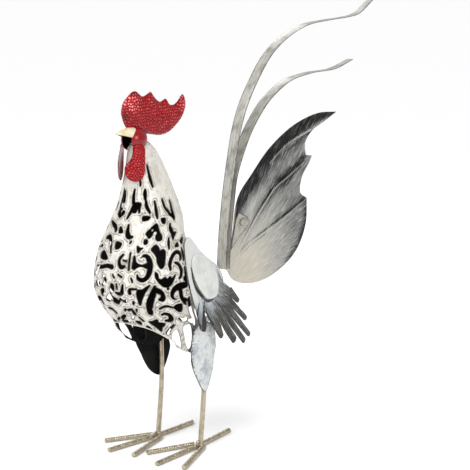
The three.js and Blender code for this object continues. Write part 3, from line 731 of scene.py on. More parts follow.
class EnamelPainter(Painter):
    """Colours the enamel by the height of its bumps, with painted shade low and painted glints
    high.
    """

    def layers(self) -> Socket:
        """The dimples' painted shade, the face's red and the crowns' pale painted glint.

        Returns:
            The colour socket.
        """
        spec = self.spec
        relief = self.attribute("relief")
        wobble = self.math("MULTIPLY", self.noise(spec.grain * 0.25, 3), 0.5)
        level = self.math("ADD", relief, wobble)
        # Painted shade: the chip colour fills the low dimples. Painted glint: the crown colour
        # tops the high bumps.
        colour = self.mix(self.ramp(level, 0.3, 0.95), spec.chip, spec.base)
        colour = self.mix(self.ramp(level, 1.14, 1.5), colour, spec.crown)
        patches = self.ramp(self.noise(spec.grain * 1.6, 3, 1.0, 2.0), 0.45, 0.7, 0.0, 0.5)
        return self.with_dark_wear_and_shade(self.mix(patches, colour, spec.shade))


@dataclass(frozen=True)
class Fade(Finish):
    """Paint brushed through a row of tones that the mesh carries from 0 to 1.

    Args:
        stops: Rows of a tone from 0 to 1 and its display colour.
        ragged: How much streaks along the grain break up the tones.
    """

    stops: tuple[tuple[float, tuple[float, float, float]], ...] = ()
    ragged: float = 0.25

    def build(self) -> Material:
        """Builds the fade's nodes."""
        return FadePainter(self).finish()


class FadePainter(Painter):
    """Paints a fade with brushed streaks."""

    def layers(self) -> Socket:
        """The tones broken by streaks along the grain.

        Returns:
            The colour socket.
        """
        spec = self.spec
        streaks = self.noise(spec.grain * 0.1, 4, spec.stretch, 3.0)
        broad = self.noise(spec.grain * 0.5, 3, 3.0, 6.0)
        both = self.math("SUBTRACT", self.math("ADD", streaks, broad), 1.0)
        both = self.math("MULTIPLY", both, spec.ragged)
        tone = self.math("ADD", self.attribute("tone"), both)
        ramp = self.node("ShaderNodeValToRGB")
        band = ramp.color_ramp
        while len(band.elements) < len(spec.stops):
            band.elements.new(0.5)
        for element, (at, colour) in zip(band.elements, spec.stops):
            element.position = at
            element.color = linear(colour)
        self.link(tone, ramp.inputs["Fac"])
        fine = self.noise(spec.grain * 0.036, 2, spec.stretch * 1.5, 8.0)
        pale = self.math("MULTIPLY", self.ramp(fine, 0.55, 0.66), spec.streak)
        tall = self.ramp(self.attribute("tone"), 0.0, 0.35, 0.35, 1.0)
        colour = self.mix(self.math("MULTIPLY", pale, tall), ramp.outputs["Color"], spec.shade)
        dark = self.math("MULTIPLY", self.ramp(fine, 0.45, 0.36), spec.streak)
        faint = self.ramp(self.attribute("tone"), 0.7, 0.95, 1.0, 0.25)
        colour = self.mix(self.math("MULTIPLY", dark, faint), colour, spec.chip)
        return self.with_dark_wear_and_shade(colour)


CREAM = Finish(
    "cream paint", (217, 214, 206), (196, 191, 180), (60, 55, 46), chips=0.46, edge=1.0,
    graved=2.1, grain=11, stretch=5, streak=0.34, rough=0.4, bump=0.3,
)
CUT_EDGE = Finish(
    "dark cut edge", (96, 86, 72), (60, 52, 42), (30, 26, 22), chips=0.3, edge=0.0,
    grain=6, stretch=1, streak=0.2, rough=0.6, bump=0.1,
)
BLACK = Finish(
    "bare black inside", (9, 8, 8), (14, 13, 12), (30, 27, 24), chips=0.12, edge=0.0,
    grain=16, streak=0.25, rough=0.72, shine=0.2,
)
# In the enamels the chip colour is painted shade in the dimples and the crown colour is a painted
# glint on the bumps.
RED = Enamel(
    "hammered red enamel", (160, 4, 18), (120, 2, 11), (72, 0, 6), grain=8, stretch=1,
    rough=0.16, shine=0.14, coat=0.22, bump=0.06, edge=0.0, crown=(246, 140, 138),
)
HOOD_RED = Enamel(
    "smooth red enamel", (150, 10, 16), (112, 6, 12), (70, 3, 8), grain=14, stretch=1,
    rough=0.22, shine=0.25, coat=0.4, bump=0.04, edge=0.0, crown=(168, 34, 38),
)
BEAK = Finish(
    "beak paint", (216, 210, 182), (200, 188, 142), (104, 84, 48), chips=0.14, edge=0.5,
    grain=7, stretch=2, streak=0.16, rough=0.3, coat=0.3, bump=0.05,
)
LEG = Finish(
    "pale bronze legs", (184, 174, 152), (158, 146, 122), (70, 60, 44), chips=0.2,
    edge=0.0, grain=7, stretch=9, streak=0.4, metallic=0.75, rough=0.24, bump=0.1,
)
THIGH_PAINT = Finish(
    "thigh paint", (210, 213, 212), (160, 168, 174), (52, 52, 50), chips=0.62, edge=1.5,
    grain=13, stretch=3, streak=0.4, rough=0.42, bump=0.3,
)
COVERT_PAINT = Finish(
    "shoulder paint", (206, 208, 203), (188, 190, 187), (92, 92, 88), chips=0.24, edge=0.0,
    grain=15, stretch=5, streak=0.18, rough=0.4, bump=0.2,
)
WING_PAINT = Fade(
    "wing paint", (210, 212, 212), (206, 210, 212), (30, 30, 29), grain=16, stretch=16,
    streak=0.6, metallic=0.1, rough=0.4, shine=0.25, bump=0.25, ragged=0.8,
    stops=((0.0, (52, 51, 48)), (0.2, (76, 75, 71)), (0.42, (112, 114, 114)),
           (0.66, (166, 172, 177)), (0.9, (204, 206, 203))),
)
TAIL_PAINT = Fade(
    "brushed tail paint", (200, 200, 196), (226, 226, 222), (14, 14, 13), grain=16,
    stretch=24, streak=0.5, metallic=0.1, rough=0.4, shine=0.12, bump=0.25, ragged=0.2,
    stops=((0.0, (3, 3, 3)), (0.25, (26, 26, 25)), (0.5, (100, 101, 100)),
           (0.75, (162, 161, 156)), (1.0, (190, 184, 169))),
)
RIBBON_PAINT = Finish(
    "brushed ribbon steel", (196, 194, 186), (150, 148, 140), (48, 46, 42), chips=0.2,
    edge=1.2, grain=18, stretch=30, streak=0.8, metallic=0.4, rough=0.32, bump=0.16,
)
TIE_PAINT = Finish(
    "tie paint", (174, 170, 160), (146, 142, 132), (40, 37, 31), chips=0.44, edge=1.6,
    grain=9, stretch=3, streak=0.4, metallic=0.1, rough=0.42, shine=0.25, bump=0.2,
)
# Paints that stop at the front face and leave the sheet's cut edges dark.
EDGED = (CREAM, WING_PAINT, TAIL_PAINT)


class Bench:
    paints: dict[str, Material] = {}
    shift = np.zeros(3)

    @classmethod
    def set_up(cls) -> None:
        """Reads the bird's place in the frame from the legs and the tail's far end."""
        left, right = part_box("leg_left"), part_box("leg_right")
        middle = (left[0][0] + left[1][0] + right[0][0] + right[1][0]) / 4
        tail_end = 330.0 / MM_PER_METRE
        cls.shift = np.array([middle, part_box("tail_sheet")[1][1] - tail_end, 0.0])
        LOG.info("the bird stands at %s", cls.shift.round(5).tolist())

    @classmethod
    def place(cls, points: Array) -> Array:
        """Drawn millimetres as metres in the frame."""
        return np.asarray(points, float) / MM_PER_METRE + cls.shift

    @classmethod
    def paint(cls, finish: Finish) -> Material:
        """The finish's material, made once.

        Args:
            finish: The finish.

        Returns:
            Its material.
        """
        if finish.name not in cls.paints:
            cls.paints[finish.name] = finish.build()
        return cls.paints[finish.name]

    @staticmethod
    def file(piece: Piece, slot: str, *nodes: str) -> None:
        """Args:
            piece: The piece.
            slot: The record's material slot for it; not used.
            *nodes: The CAD nodes that it stands for.
        """
        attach(piece, "root")
        if nodes:
            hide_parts(*nodes)
        LOG.info("%s: %d faces", piece.name, len(piece.data.polygons))


def new_object(name: str, points: Array, faces: Sequence[Sequence[int]]) -> Piece:
    """A mesh object from points in metres and faces.

    Args:
        name: The object's name.
        points: Its points.
        faces: Rows of point numbers.

    Returns:
        The object, linked to the scene.
    """
    mesh = bpy.data.meshes.new(name)
    mesh.from_pydata([tuple(p) for p in points], [], [tuple(int(k) for k in f) for f in faces])
    mesh.validate()
    piece = bpy.data.objects.new(name, mesh)
    bpy.context.scene.collection.objects.link(piece)
    return piece


def add_values(piece: Piece, name: str, values: Array) -> None:
    """Carries one number a point on the mesh."""
    layer = piece.data.attributes.new(name, "FLOAT", "POINT")
    layer.data.foreach_set("value", np.asarray(values, np.float32))


def add_grain(piece: Piece, grain: Array) -> None:
    """Carries the paint's own coordinates, whose second runs along the metal's grain."""
    layer = piece.data.attributes.new("grain", "FLOAT_VECTOR", "POINT")
    layer.data.foreach_set("vector", np.asarray(grain, np.float32).ravel())


def drawn_grain(piece: Piece) -> None:
    """Gives a piece the grain of its own places, running up along Z.

    Args:
        piece: The piece.
    """
    places = np.empty(len(piece.data.vertices) * 3, np.float32)
    piece.data.vertices.foreach_get("co", places)
    add_grain(piece, places.reshape(-1, 3)[:, [0, 2, 1]] * MM_PER_METRE)


@dataclass
class Sheet:
    """Sheet metal: a blank between two faces, closed round all its edges.

    Args:
        name: The piece's name.
        blank: The flat blank.
        outer: The outer face's points in drawn millimetres, one for each of the blank's.
        inner: The inner face's points.
        paint: Finish of the outer face and the edges.
        lining: Finish of the inner face.
        relief: Height of the pattern on the outer face for the paint, from 0 to 1; the enamels
            turn it into painted shade and painted glints.
        dark_wear_and_shade: How black the outer face is painted over, from 0 to 1: dark chips and
            edges, and painted shadow and painted shade.
        tone: The tone that a fade reads, from 0 to 1.
        grain: The paint's own coordinates, the second along the grain.
    """

    name: str
    blank: Blank
    outer: Array
    inner: Array
    paint: Finish
    lining: Finish
    relief: Array | None = None
    dark_wear_and_shade: Array | None = None
    tone: Array | None = None
    grain: Array | None = None

    def build(self, slot: str, *nodes: str) -> None:
        """Makes the closed mesh with its values and finishes, and files it.

        Args:
            slot: The record's material slot for it.
            *nodes: The CAD nodes that it stands for.
        """
        front, back = self.outer, self.inner
        _, keep, same = np.unique(
            np.round(front, 3), axis=0, return_index=True, return_inverse=True
        )
        same = same.reshape(-1)
        tris = same[self.blank.triangles]
        fine = (tris[:, 0] != tris[:, 1]) & (tris[:, 1] != tris[:, 2]) & (tris[:, 0] != tris[:, 2])
        tris = tris[fine]
        inked = None if self.blank.inked is None else self.blank.inked[fine]
        used = np.unique(tris)
        order = np.full(len(keep), -1)
        order[used] = np.arange(len(used))
        tris, keep = order[tris], keep[used]
        front, back, depth = front[keep], back[keep], self.blank.depth[keep]
        count = len(front)
        edges = np.concatenate([tris[:, [0, 1]], tris[:, [1, 2]], tris[:, [2, 0]]])
        codes = edges[:, 0].astype(np.int64) * count + edges[:, 1]
        other = edges[:, 1].astype(np.int64) * count + edges[:, 0]
        open_edges = edges[~np.isin(codes, other)]
        walls = [[(b, a, a + count), (b, a + count, b + count)] for a, b in open_edges]
        walls = np.array(walls, int).reshape(-1, 3)
        faces = np.concatenate([tris, walls, tris[:, ::-1] + count])
        points = np.concatenate([front, back])
        a, b, c = (points[faces[:, k]] for k in range(3))
        if np.einsum("ij,ij->", a, np.cross(b, c)) < 0:
            faces = faces[:, ::-1]
        piece = new_object(self.name, Bench.place(points), faces)
        for finish in (self.paint, CUT_EDGE, self.lining):
            piece.data.materials.append(Bench.paint(finish))
        lined = np.zeros(len(faces), np.int32)
        lined[len(tris) :] = 1 if self.paint in EDGED else 0
        lined[len(tris) + len(walls) :] = 2
        if inked is not None:
            lined[: len(tris)][inked] = 2
        if len(piece.data.polygons) == len(faces):
            piece.data.polygons.foreach_set("material_index", lined)
        add_values(piece, "edge", np.concatenate([depth, depth]))
        for name in ("relief", "dark_wear_and_shade", "tone"):
            level = getattr(self, name)
            if level is not None:
                add_values(piece, name, np.concatenate([level[keep], level[keep]]))
        grain = front[:, [0, 2, 1]] if self.grain is None else self.grain[keep]
        add_grain(piece, np.concatenate([grain, grain]))
        piece.data.shade_smooth()
        piece.data.set_sharp_from_angle(angle=SHEET_CREASE)
        Bench.file(piece, slot, *nodes)


@dataclass
class BodyForm:
    """The surface that the body shell is pressed to.

    Rows of stations hold height, middle, half width, reach to the front, reach to the back
    and how sharply the back draws together.
    """

    stations: Array = field(default_factory=lambda: np.array([
        [110, -50, 35.5, 25, 102, 2], [135, -50, 38.5, 30, 112, 2],
        [150, -51, 42, 36, 124, 2], [165, -53, 47.5, 46.5, 135, 2],
        [180, -56, 53.5, 54, 140, 2], [195, -58, 57, 57, 133, 2],
        [210, -58.5, 56.5, 56, 112, 2], [225, -59, 54, 53.5, 86, 2],
        [238, -60, 50, 49.5, 68, 1.8], [250, -60.5, 45, 44.5, 58, 1.6],
        [270, -61, 35.5, 35, 55, 1], [295, -62.5, 25, 24, 50, 1],
        [325, -65, 16.5, 16.5, 37, 1], [345, -66.5, 12.5, 12.5, 24, 1],
        [354, -67, 9.5, 9.5, 13.5, 1],
    ]))
    rim: Array = field(default_factory=lambda: np.array([
        [0, 158], [30, 154], [63, 141], [84, 133], [102, 118], [118, 115], [135, 146],
        [180, 178],
    ], float))
    top: float = 354.0

    @staticmethod
    def hermite(knots: Array, values: Array, x: Array) -> Array:
        """Smooth curve through knots, with the slope of each knot's neighbours.

        Args:
            knots: Where the knots are.
            values: A row of values for each knot.
            x: Places to give values for.

        Returns:
            A row of values for each place.
        """
        slope = np.empty_like(values)
        slope[1:-1] = (values[2:] - values[:-2]) / (knots[2:] - knots[:-2])[:, None]
        slope[0] = (values[1] - values[0]) / (knots[1] - knots[0])
        slope[-1] = (values[-1] - values[-2]) / (knots[-1] - knots[-2])
        i = np.clip(np.searchsorted(knots, x, side="right") - 1, 0, len(knots) - 2)
        step = (knots[i + 1] - knots[i])[..., None]
        t = (x - knots[i])[..., None] / step
        return (
            (2 * t**3 - 3 * t**2 + 1) * values[i] + (t**3 - 2 * t**2 + t) * step * slope[i]
            + (3 * t**2 - 2 * t**3) * values[i + 1] + (t**3 - t**2) * step * slope[i + 1]
        )

    def section(self, z: Array) -> tuple[Array, ...]:
        """Middle, half width, front, back and pinch, one array each, at heights."""
        made = self.hermite(self.stations[:, 0], self.stations[:, 1:], np.asarray(z, float))
        return tuple(made[..., k] for k in range(5))

    def point(self, turn: Array, z: Array) -> Array:
        """Points on the surface.

        Args:
            turn: Angles round it, 0 at the breast and pi at the back.
            z: Heights.

        Returns:
            One point for each pair.
        """
        middle, side, front, back, pinch = self.section(z)
        behind = np.abs(turn) > math.pi / 2
        sine = np.abs(np.sin(turn))
        x = side * sine ** np.where(behind, pinch, 1) * np.sign(np.sin(turn))
        y = middle - np.cos(turn) * np.where(behind, back, front)
        return np.stack([x, y, np.broadcast_to(z, x.shape)], -1)

    def normal(self, turn: Array, z: Array) -> Array:
        """Outward directions of the surface.

        Args:
            turn: Angles round it.
            z: Heights.

        Returns:
            One direction for each pair.
        """
        step = 2e-3
        along = self.point(turn + step, z) - self.point(turn - step, z)
        up = self.point(turn, z + 1) - self.point(turn, z - 1)
        made = np.cross(along, up)
        size = np.linalg.norm(made, axis=-1, keepdims=True)
        flat = size[..., 0] < 1e-6
        made[flat] = (0, 1, 0)
        size[flat] = 1
        return made / size

    def rim_height(self, turn: Array) -> Array:
        """Height of the slanted bottom rim."""
        degrees = np.minimum(np.degrees(np.abs(turn)), 179.99)
        return self.hermite(self.rim[:, 0], self.rim[:, 1:], degrees)[..., 0]

    def half_width(self, y: Array, z: Array) -> Array:
        """Half the shell's width at places of the side view.

        Args:
            y: First coordinates.
            z: Heights.

        Returns:
            One half width for each place.
        """
        middle, side, front, back, pinch = self.section(z)
        away = (y - middle) / np.where(y < middle, front, back)
        power = np.where(y < middle, 0.5, pinch / 2)
        return side * np.maximum(0, 1 - away * away) ** power


FORM = BodyForm()


@dataclass
class Fretwork:
    """The cuts of the body. Places are length round from the breast and height.

    Strokes hold a width as a third number, patches are closed outlines, and balls and
    dots hold a radius. The last numbers are what every cut is widened by, the area of a
    broad hole, the radius that turns are multiplied by, and the rounding of corners.
    """

    hackle_slits: tuple = (
        ((19.4, 330, 0.9), (22, 322, 1.8), (25, 314, 2.4), (28.2, 307, 1.2)),
        ((7.6, 304.6, 0.8), (7.2, 298, 2.2), (8.2, 291, 2.6)),
        ((15.6, 289.6, 1.6), (16.4, 284.6, 1.8), (17.4, 281, 1)),
        ((9, 288, 2), (7.4, 281, 2.4), (5.2, 274.6, 1.2)),
        ((19, 304.4, 1.4), (19.6, 300, 3), (20.6, 295.4, 2)),
        ((21.4, 294, 1), (24, 287, 2.4), (29.4, 280.6, 1)),
        ((32, 292, 1), (35, 285, 1.9), (37.6, 279, 2.4), (39.6, 274.6, 0.9)),
        ((43.6, 292.6, 1.6), (46.4, 288, 2.4), (50.4, 283, 1.8), (55, 280, 2.2), (58, 277, 2.6)),
        ((58, 290, 1.4), (60.4, 285.4, 2.6), (64, 278, 3.4), (67.6, 271.8, 3.4)),
        ((59, 276.6, 1.6), (63, 274.6, 2.2), (67, 272, 2.2)),
        ((86, 287.6, 0.9), (97, 281, 1.7), (110, 273, 2.4)),
        ((12.4, 316, 0.5), (13.6, 309, 0.9)),
    )
    left_strokes: tuple = (
        ((9, 267.6, 1.4), (9.6, 262, 3), (11.4, 257.6, 4.2), (14.4, 255.6, 3), (17, 256, 1.2)),
        ((11.6, 237.6, 1.4), (8.2, 233, 2.2), (8.4, 227.6, 2.8), (11.4, 224.4, 3.4),
         (15, 225.6, 1.6)),
        ((33, 234.6, 1.6), (35.4, 237, 2.6), (39, 235.6, 3.4), (42.2, 230.6, 4.4),
         (43.4, 224.6, 4.8), (42.6, 218, 4.4), (39.4, 213, 3.8), (35.4, 211.6, 3.4),
         (31.8, 213.6, 2.8), (30.6, 217, 1.2)),
        ((30, 202, 0.8), (22.6, 201, 2), (22.8, 197, 2.6)),
        ((14.4, 205.6, 1.2), (13.8, 200, 2.6), (13, 196.4, 3.4), (9, 195.6, 2.6),
         (6, 196.6, 1.2)),
        ((15.8, 176.6, 1.8), (18.4, 177.8, 1.4), (20.8, 178.4, 1.2)),
        ((20.8, 177, 1.4), (21, 172.6, 3)),
        ((1, 164.6, 2.6), (4.4, 167, 2.8), (8, 169.4, 1.8)),
        ((0, 160.6, 2.4), (5, 161.4, 2.2), (10, 162.4, 1.2)),
        ((24, 168, 1), (26, 163.6, 1.6)),
        ((8, 216.4, 1), (12.6, 214, 1.2)),
        ((19.8, 240, 0.8), (19.9, 231, 1), (20.4, 222, 0.8)),
        ((24.6, 236.6, 0.8), (24.4, 230, 0.9), (24.2, 224, 0.7)),
        ((16.4, 249.6, 0.7), (17.2, 251.4, 1)),
        ((12.6, 231.6, 0.7), (16.6, 231.2, 0.9)),
        ((12, 189.4, 0.6), (14.4, 187.4, 1.3), (17, 188.2, 0.8)),
        ((11, 175.6, 0.7), (13.4, 178, 1.2)),
        ((24.8, 175.6, 0.7), (26, 178.6, 0.9)),
        ((23.6, 213.4, 0.7), (25.4, 209.6, 1)),
        ((6.6, 206, 0.8), (7.6, 201, 1.1)),
        ((1, 215.4, 0.9), (3.2, 212.6, 1.2)),
        ((15, 166, 0.8), (17.6, 168.6, 1)),
        ((16, 187, 1.8), (17.6, 188.6, 1.4)),
        ((24.4, 184.4, 1), (25.4, 187, 1.8)),
        ((9, 186.6, 0.9), (10.6, 190, 1.1)),
    )
    left_patches: tuple = (
        ((8.6, 290), (16.4, 290.4), (17.2, 287), (14.6, 285.4), (13.6, 281), (10, 281),
         (9.4, 286)),
        ((22.6, 276.8), (30.8, 276), (29.6, 273.8), (23.6, 272.8)),
        ((45, 273.6), (51, 273), (51.2, 268.8), (47, 269.6)),
        ((-1, 265.5), (1.6, 264), (4, 260.2), (-1, 259.6)),
        ((-1, 249.8), (3, 249.8), (6.6, 248.6), (6.2, 245.6), (4, 243.4), (0, 243.2)),
        ((31, 260), (34.6, 264.4), (38, 268), (40.4, 268.8), (43.4, 264.4), (46.4, 260),
         (50, 256.2), (50.8, 253), (47.6, 251.8), (44.2, 253.4), (42.8, 256.6), (43.6, 260),
         (41, 262), (38.8, 260.6), (38, 257.4), (36.2, 255), (33, 257.4)),
        ((31.4, 253.4), (34.6, 252.8), (35, 249.4), (32.4, 249)),
        ((25.6, 246.8), (28.4, 245.2), (31.8, 244.8), (29.8, 243), (28, 240.4), (26.4, 243)),
        ((25.4, 236), (27, 230.8), (29.4, 228.8), (34, 227.4), (39, 229), (42, 231),
         (43, 225.4), (39.6, 224.4), (36, 225.8), (32, 226.2), (28.6, 224.6), (26, 222.6),
         (26.2, 229)),
        ((-1, 205.4), (2.6, 204.8), (3, 198), (-1, 196)),
        ((-2, 193.6), (2.4, 191), (5, 189.8), (8.2, 186.8), (7.4, 183.8), (3, 184.2), (0, 187)),
        ((31.2, 200.8), (36, 201), (40, 203.6), (44.6, 206.2), (40.4, 199.4), (36, 191.6),
         (31.6, 183.4), (30.8, 190)),
        ((17, 162.6), (22, 162.4), (21, 158.8), (18, 159.2)),
        ((22.8, 152.2), (27, 157), (28.8, 151.4)),
        ((31.4, 162.2), (36, 163), (42, 164.8), (40.8, 161.4), (44, 160.4), (47.2, 159.4),
         (44.6, 156.4), (41, 154.2), (38, 149.6), (35.6, 154)),
    )
    right_strokes: tuple = (
        ((-5.2, 302.4, 1.2), (-4.8, 297, 2.8), (-5, 291.6, 3.8)),
        ((-2, 279.8, 4), (-6, 276, 2.4), (-9, 278.6, 2.8), (-7.4, 283, 2.2), (-5, 283.6, 1)),
        ((-6, 261, 2.4), (-8, 264.4, 3.6), (-13, 266.6, 3.6), (-20, 269, 1.6)),
        ((-5.4, 238, 0.9), (-7.4, 245, 2.2), (-9.8, 250.4, 3.6), (-14, 253.6, 4),
         (-20, 252, 2)),
        ((-1, 223.6, 4), (-8, 224, 3.2), (-18, 221.6, 3), (-30, 219.6, 3.6)),
        ((-26, 218, 2.4), (-30, 213.6, 4), (-36, 212, 2.2)),
        ((-14, 212.4, 2), (-9.8, 208.6, 3.2), (-12.6, 203.6, 2.2), (-15, 202.6, 1)),
        ((-3, 171.6, 2.6), (-6.4, 175.4, 2.6), (-12, 175.8, 1.4)),
        ((-3, 165, 1.4), (-7.4, 161, 2)),
        ((-20, 180, 2.2), (-23, 185.4, 5), (-30, 184, 3.4), (-44, 179.6, 2.4)),
        ((-24, 172, 1.6), (-32, 168, 3), (-40, 166, 1.6)),
        ((-30, 262, 2.2), (-38, 258, 3.4), (-45, 252, 1.8)),
        ((-31, 246, 2), (-38, 242, 3.6), (-45, 234, 2)),
        ((-31, 284, 1.2), (-37, 276, 2.8), (-43, 268, 1.4)),
        ((-38, 228, 2.4), (-44, 222, 3.4), (-44, 213, 3), (-40, 209, 1.6)),
        ((-34, 200, 2.2), (-40, 193, 3.6), (-48, 190, 1.8)),
        ((-18, 300, 0.9), (-24, 290, 2), (-29, 282, 1)),
        ((-20, 242, 0.8), (-27, 243, 1.6), (-32, 241, 0.8)),
    )
    right_patches: tuple = (
        ((-9, 231.4), (-13, 236), (-18, 238.8), (-24, 234.6), (-23, 230.6)),
        ((-19, 201), (-23, 205.8), (-30, 203.8), (-29, 200.2)),
        ((-12, 198.6), (-18.4, 196), (-16, 190), (-12.6, 192.4)),
        ((-2, 195), (-8, 190), (-10, 186), (-4, 186)),
        ((-10, 156), (-18, 160), (-22, 156), (-14, 153)),
    )
    flank_strokes: tuple = (
        ((59.4, 266.8, 1.8), (60.2, 263.4, 3.6), (62.8, 260.4, 4), (65.4, 257, 3.2)),
        ((59.6, 253.4, 1), (60.6, 249, 2.4), (62.6, 243, 1.1)),
        ((67.2, 221.4, 1.8), (65.8, 226, 3), (66.8, 232, 3.6), (70, 236.8, 3.6),
         (74, 238.4, 2.4), (78.6, 236.6, 3), (81, 232.6, 3), (80, 229.8, 1.6)),
        ((72.6, 227.8, 1.2), (77, 226, 2), (80.8, 222, 2.8), (82.8, 216.6, 3.4),
         (81.4, 212, 2.8), (79.4, 210.6, 1.2)),
        ((82.4, 241, 1), (85, 236, 2.6), (86.6, 231, 2.4), (86.4, 228, 0.9)),
        ((88, 221, 1.4), (89.6, 214, 2.6), (91, 208, 3), (92.8, 202, 1.8)),
        ((49.8, 204.4, 1.6), (48.6, 198, 5.4), (45.4, 191, 6.2), (42, 184, 6.2), (40, 177, 5.4),
         (38.6, 173.4, 4.2)),
        ((51.4, 201, 3.6), (56, 197.8, 5), (58.6, 193.6, 4.6), (57.8, 189.6, 4.4),
         (54.6, 189.4, 2.6)),
        ((75.4, 188.4, 0.8), (72.4, 188.6, 1.6), (69.8, 191, 2.4), (70.6, 196, 4),
         (74, 200, 5.6), (79, 201.8, 6.4), (85, 202, 6.4), (91.6, 201.8, 4.6)),
        ((81.6, 200, 5), (82, 194, 4.6), (82.6, 188.4, 4.6), (85, 184, 4.6), (87, 179, 1.8)),
        ((83.4, 186, 2.4), (88, 185.4, 3), (91, 183, 1.2)),
        ((94.6, 186, 2.4), (93.6, 179, 4.2), (93, 172, 4.6), (92.6, 165, 4.8), (93, 157, 5),
         (92.4, 149, 4)),
        ((51, 178.4, 1.1), (56, 180.4, 1.5), (61, 180.8, 1.7), (66.4, 178.4, 1.3)),
        ((50, 170.4, 1.2), (54, 171.6, 2.4), (58, 169.4, 4), (58.4, 165, 4.6),
         (55, 162.4, 3.6), (50.4, 162.6, 1.6)),
        ((44.4, 146.6, 3.6), (46.4, 149.4, 1.8), (50, 152, 1.6), (54, 154.4, 1.8),
         (58.2, 156.8, 0.9)),
        ((65, 200.8, 1.6), (65.4, 201, 1.6)),
    )
    flank_patches: tuple = (
        ((62.6, 259), (66, 258), (71.6, 257.8), (68.4, 254.4), (66.8, 251.2), (64.6, 253.8)),
        ((70.4, 244.4), (74, 247.6), (77, 244)),
        ((79.8, 248), (82.6, 250), (88.4, 250.8), (86, 247), (84.6, 245.2)),
        ((41.4, 243.6), (45, 247.6), (49, 245), (51.6, 241.4), (54.4, 242.6), (57.8, 241),
         (59, 236), (59.2, 230), (58.6, 225), (56, 223.2), (53, 226), (50.6, 230),
         (49.2, 235), (46, 239.4)),
        ((49.6, 219.4), (52.4, 217.4), (53.8, 212.6), (57, 211.4), (61, 213.6), (63.8, 211.2),
         (67, 214), (69.6, 211.6), (73.8, 215), (72.2, 210), (67.6, 203.8), (62, 203.2),
         (57.6, 205.6), (53.4, 209.6), (50.4, 214)),
        ((87, 211), (92, 208.4), (91.6, 205.8), (86.6, 208.4)),
        ((68.2, 178), (72, 180.8), (78, 181.2), (80.6, 180), (79.8, 175.8), (76, 171.2),
         (72.4, 171.6), (70.4, 174)),
        ((67, 163.2), (70, 162.6), (76, 160.8), (80, 162.8), (81, 158.8), (76, 156.8),
         (72, 157.8)),
        ((81.6, 157.2), (88, 157.2), (95, 156.2), (94, 150.8), (88, 151.4), (84, 153.8)),
        ((47.6, 140), (51, 146.4), (57.4, 148.6), (59.6, 140), (60.4, 131), (61, 126),
         (55.6, 129.6), (50.8, 134)),
        ((69.6, 149.6), (76, 151.2), (82.4, 150.4), (84.4, 140), (83.4, 128), (80, 121.6),
         (74.6, 121.4), (70.4, 128), (68.8, 138)),
    )
    saddle_strokes: tuple = (
        ((104, 190, 2.4), (99, 198, 4.6), (101.6, 208, 4.6), (110, 212, 2.4)),
        ((116, 178, 2.4), (123, 186, 4.6), (122, 196, 4.6), (115, 202, 2.4)),
        ((104, 226, 2), (99, 234, 3.6), (102, 243, 2.4)),
        ((116, 220, 2.4), (124, 226, 3.6), (131, 220, 2.4)),
        ((134, 186, 2.4), (133, 196, 4.6), (138, 206, 2.4)),
        ((140, 182, 1.6), (148, 190, 3.6), (147, 200, 1.8)),
        ((128, 168, 2), (136, 172, 3.6), (144, 170, 1.6)),
    )
    saddle_patches: tuple = (
        ((100, 168), (112, 170), (118, 158), (112, 148), (102, 152)),
        ((122, 160), (134, 164), (134, 154), (126, 150)),
    )
    balls: tuple = (
        (34.8, 232.4, 3.4), (35.2, 218.6, 4.6), (75, 232.6, 3.7), (75.4, 191.4, 3.4),
        (90.6, 193.4, 4.6), (45.8, 177.4, 3.2), (54.6, 193.8, 1.8), (37, 262.8, 1.2),
        (52.6, 167.6, 2.6),
    )
    dots: tuple = ((90.8, 192.4, 1.1), (52.4, 145.6, 0.9))
    kerf: float = 0.55
    broad: float = 80.0
    radius: float = 55.0
    soft: float = 0.34

    def is_broad(self, rows: Points) -> bool:
        """Whether a hole is broad enough to be cut through on the right flank too.

        Args:
            rows: The points of a stroke or a patch.

        Returns:
            True where its area is over the limit.
        """
        shape = np.asarray(rows, float)
        if shape.shape[1] == 3:
            steps = np.hypot(*np.diff(shape[:, :2], axis=0).T)
            return float(np.sum(steps * (shape[1:, 2] + shape[:-1, 2]) / 2)) > self.broad
        x, y = shape.T
        return abs(float(np.sum(x * np.roll(y, -1) - y * np.roll(x, -1)))) / 2 > self.broad

    def shape(self, cell: float = 0.62, columns: int = 720) -> tuple[Cutting, Cutting]:
        """The shell's fields over turn times the ruling radius, and height.

        Args:
            cell: Height of one cell.
            columns: Cells round the shell.

        Returns:
            The field of the metal and the field of the pressed places.
        """
        bottom, over, margin = 111.0, 2.5, 1.2
        turns = np.linspace(-math.pi, math.pi, columns + 1)
        heights = np.arange(bottom, FORM.top + over, cell)
        turn, z = np.meshgrid(turns, heights)
        places = FORM.point(turn, z)
        steps = np.linalg.norm(np.diff(places, axis=1), axis=-1)
        walked = np.concatenate([np.zeros((len(heights), 1)), np.cumsum(steps, 1)], 1)
        run = walked - walked[:, columns // 2][:, None]
        metal, pressed = np.full(turn.shape, FREE), np.full(turn.shape, FREE)
        flank = self.flank_strokes + self.flank_patches + self.saddle_strokes
        flank += self.saddle_patches
        for rows in self.left_strokes + self.left_patches + self.hackle_slits + flank:
            self.cut(metal, run, z, rows, 1)
        for rows in self.right_strokes + self.right_patches:
            self.cut(metal, run, z, rows, 1)
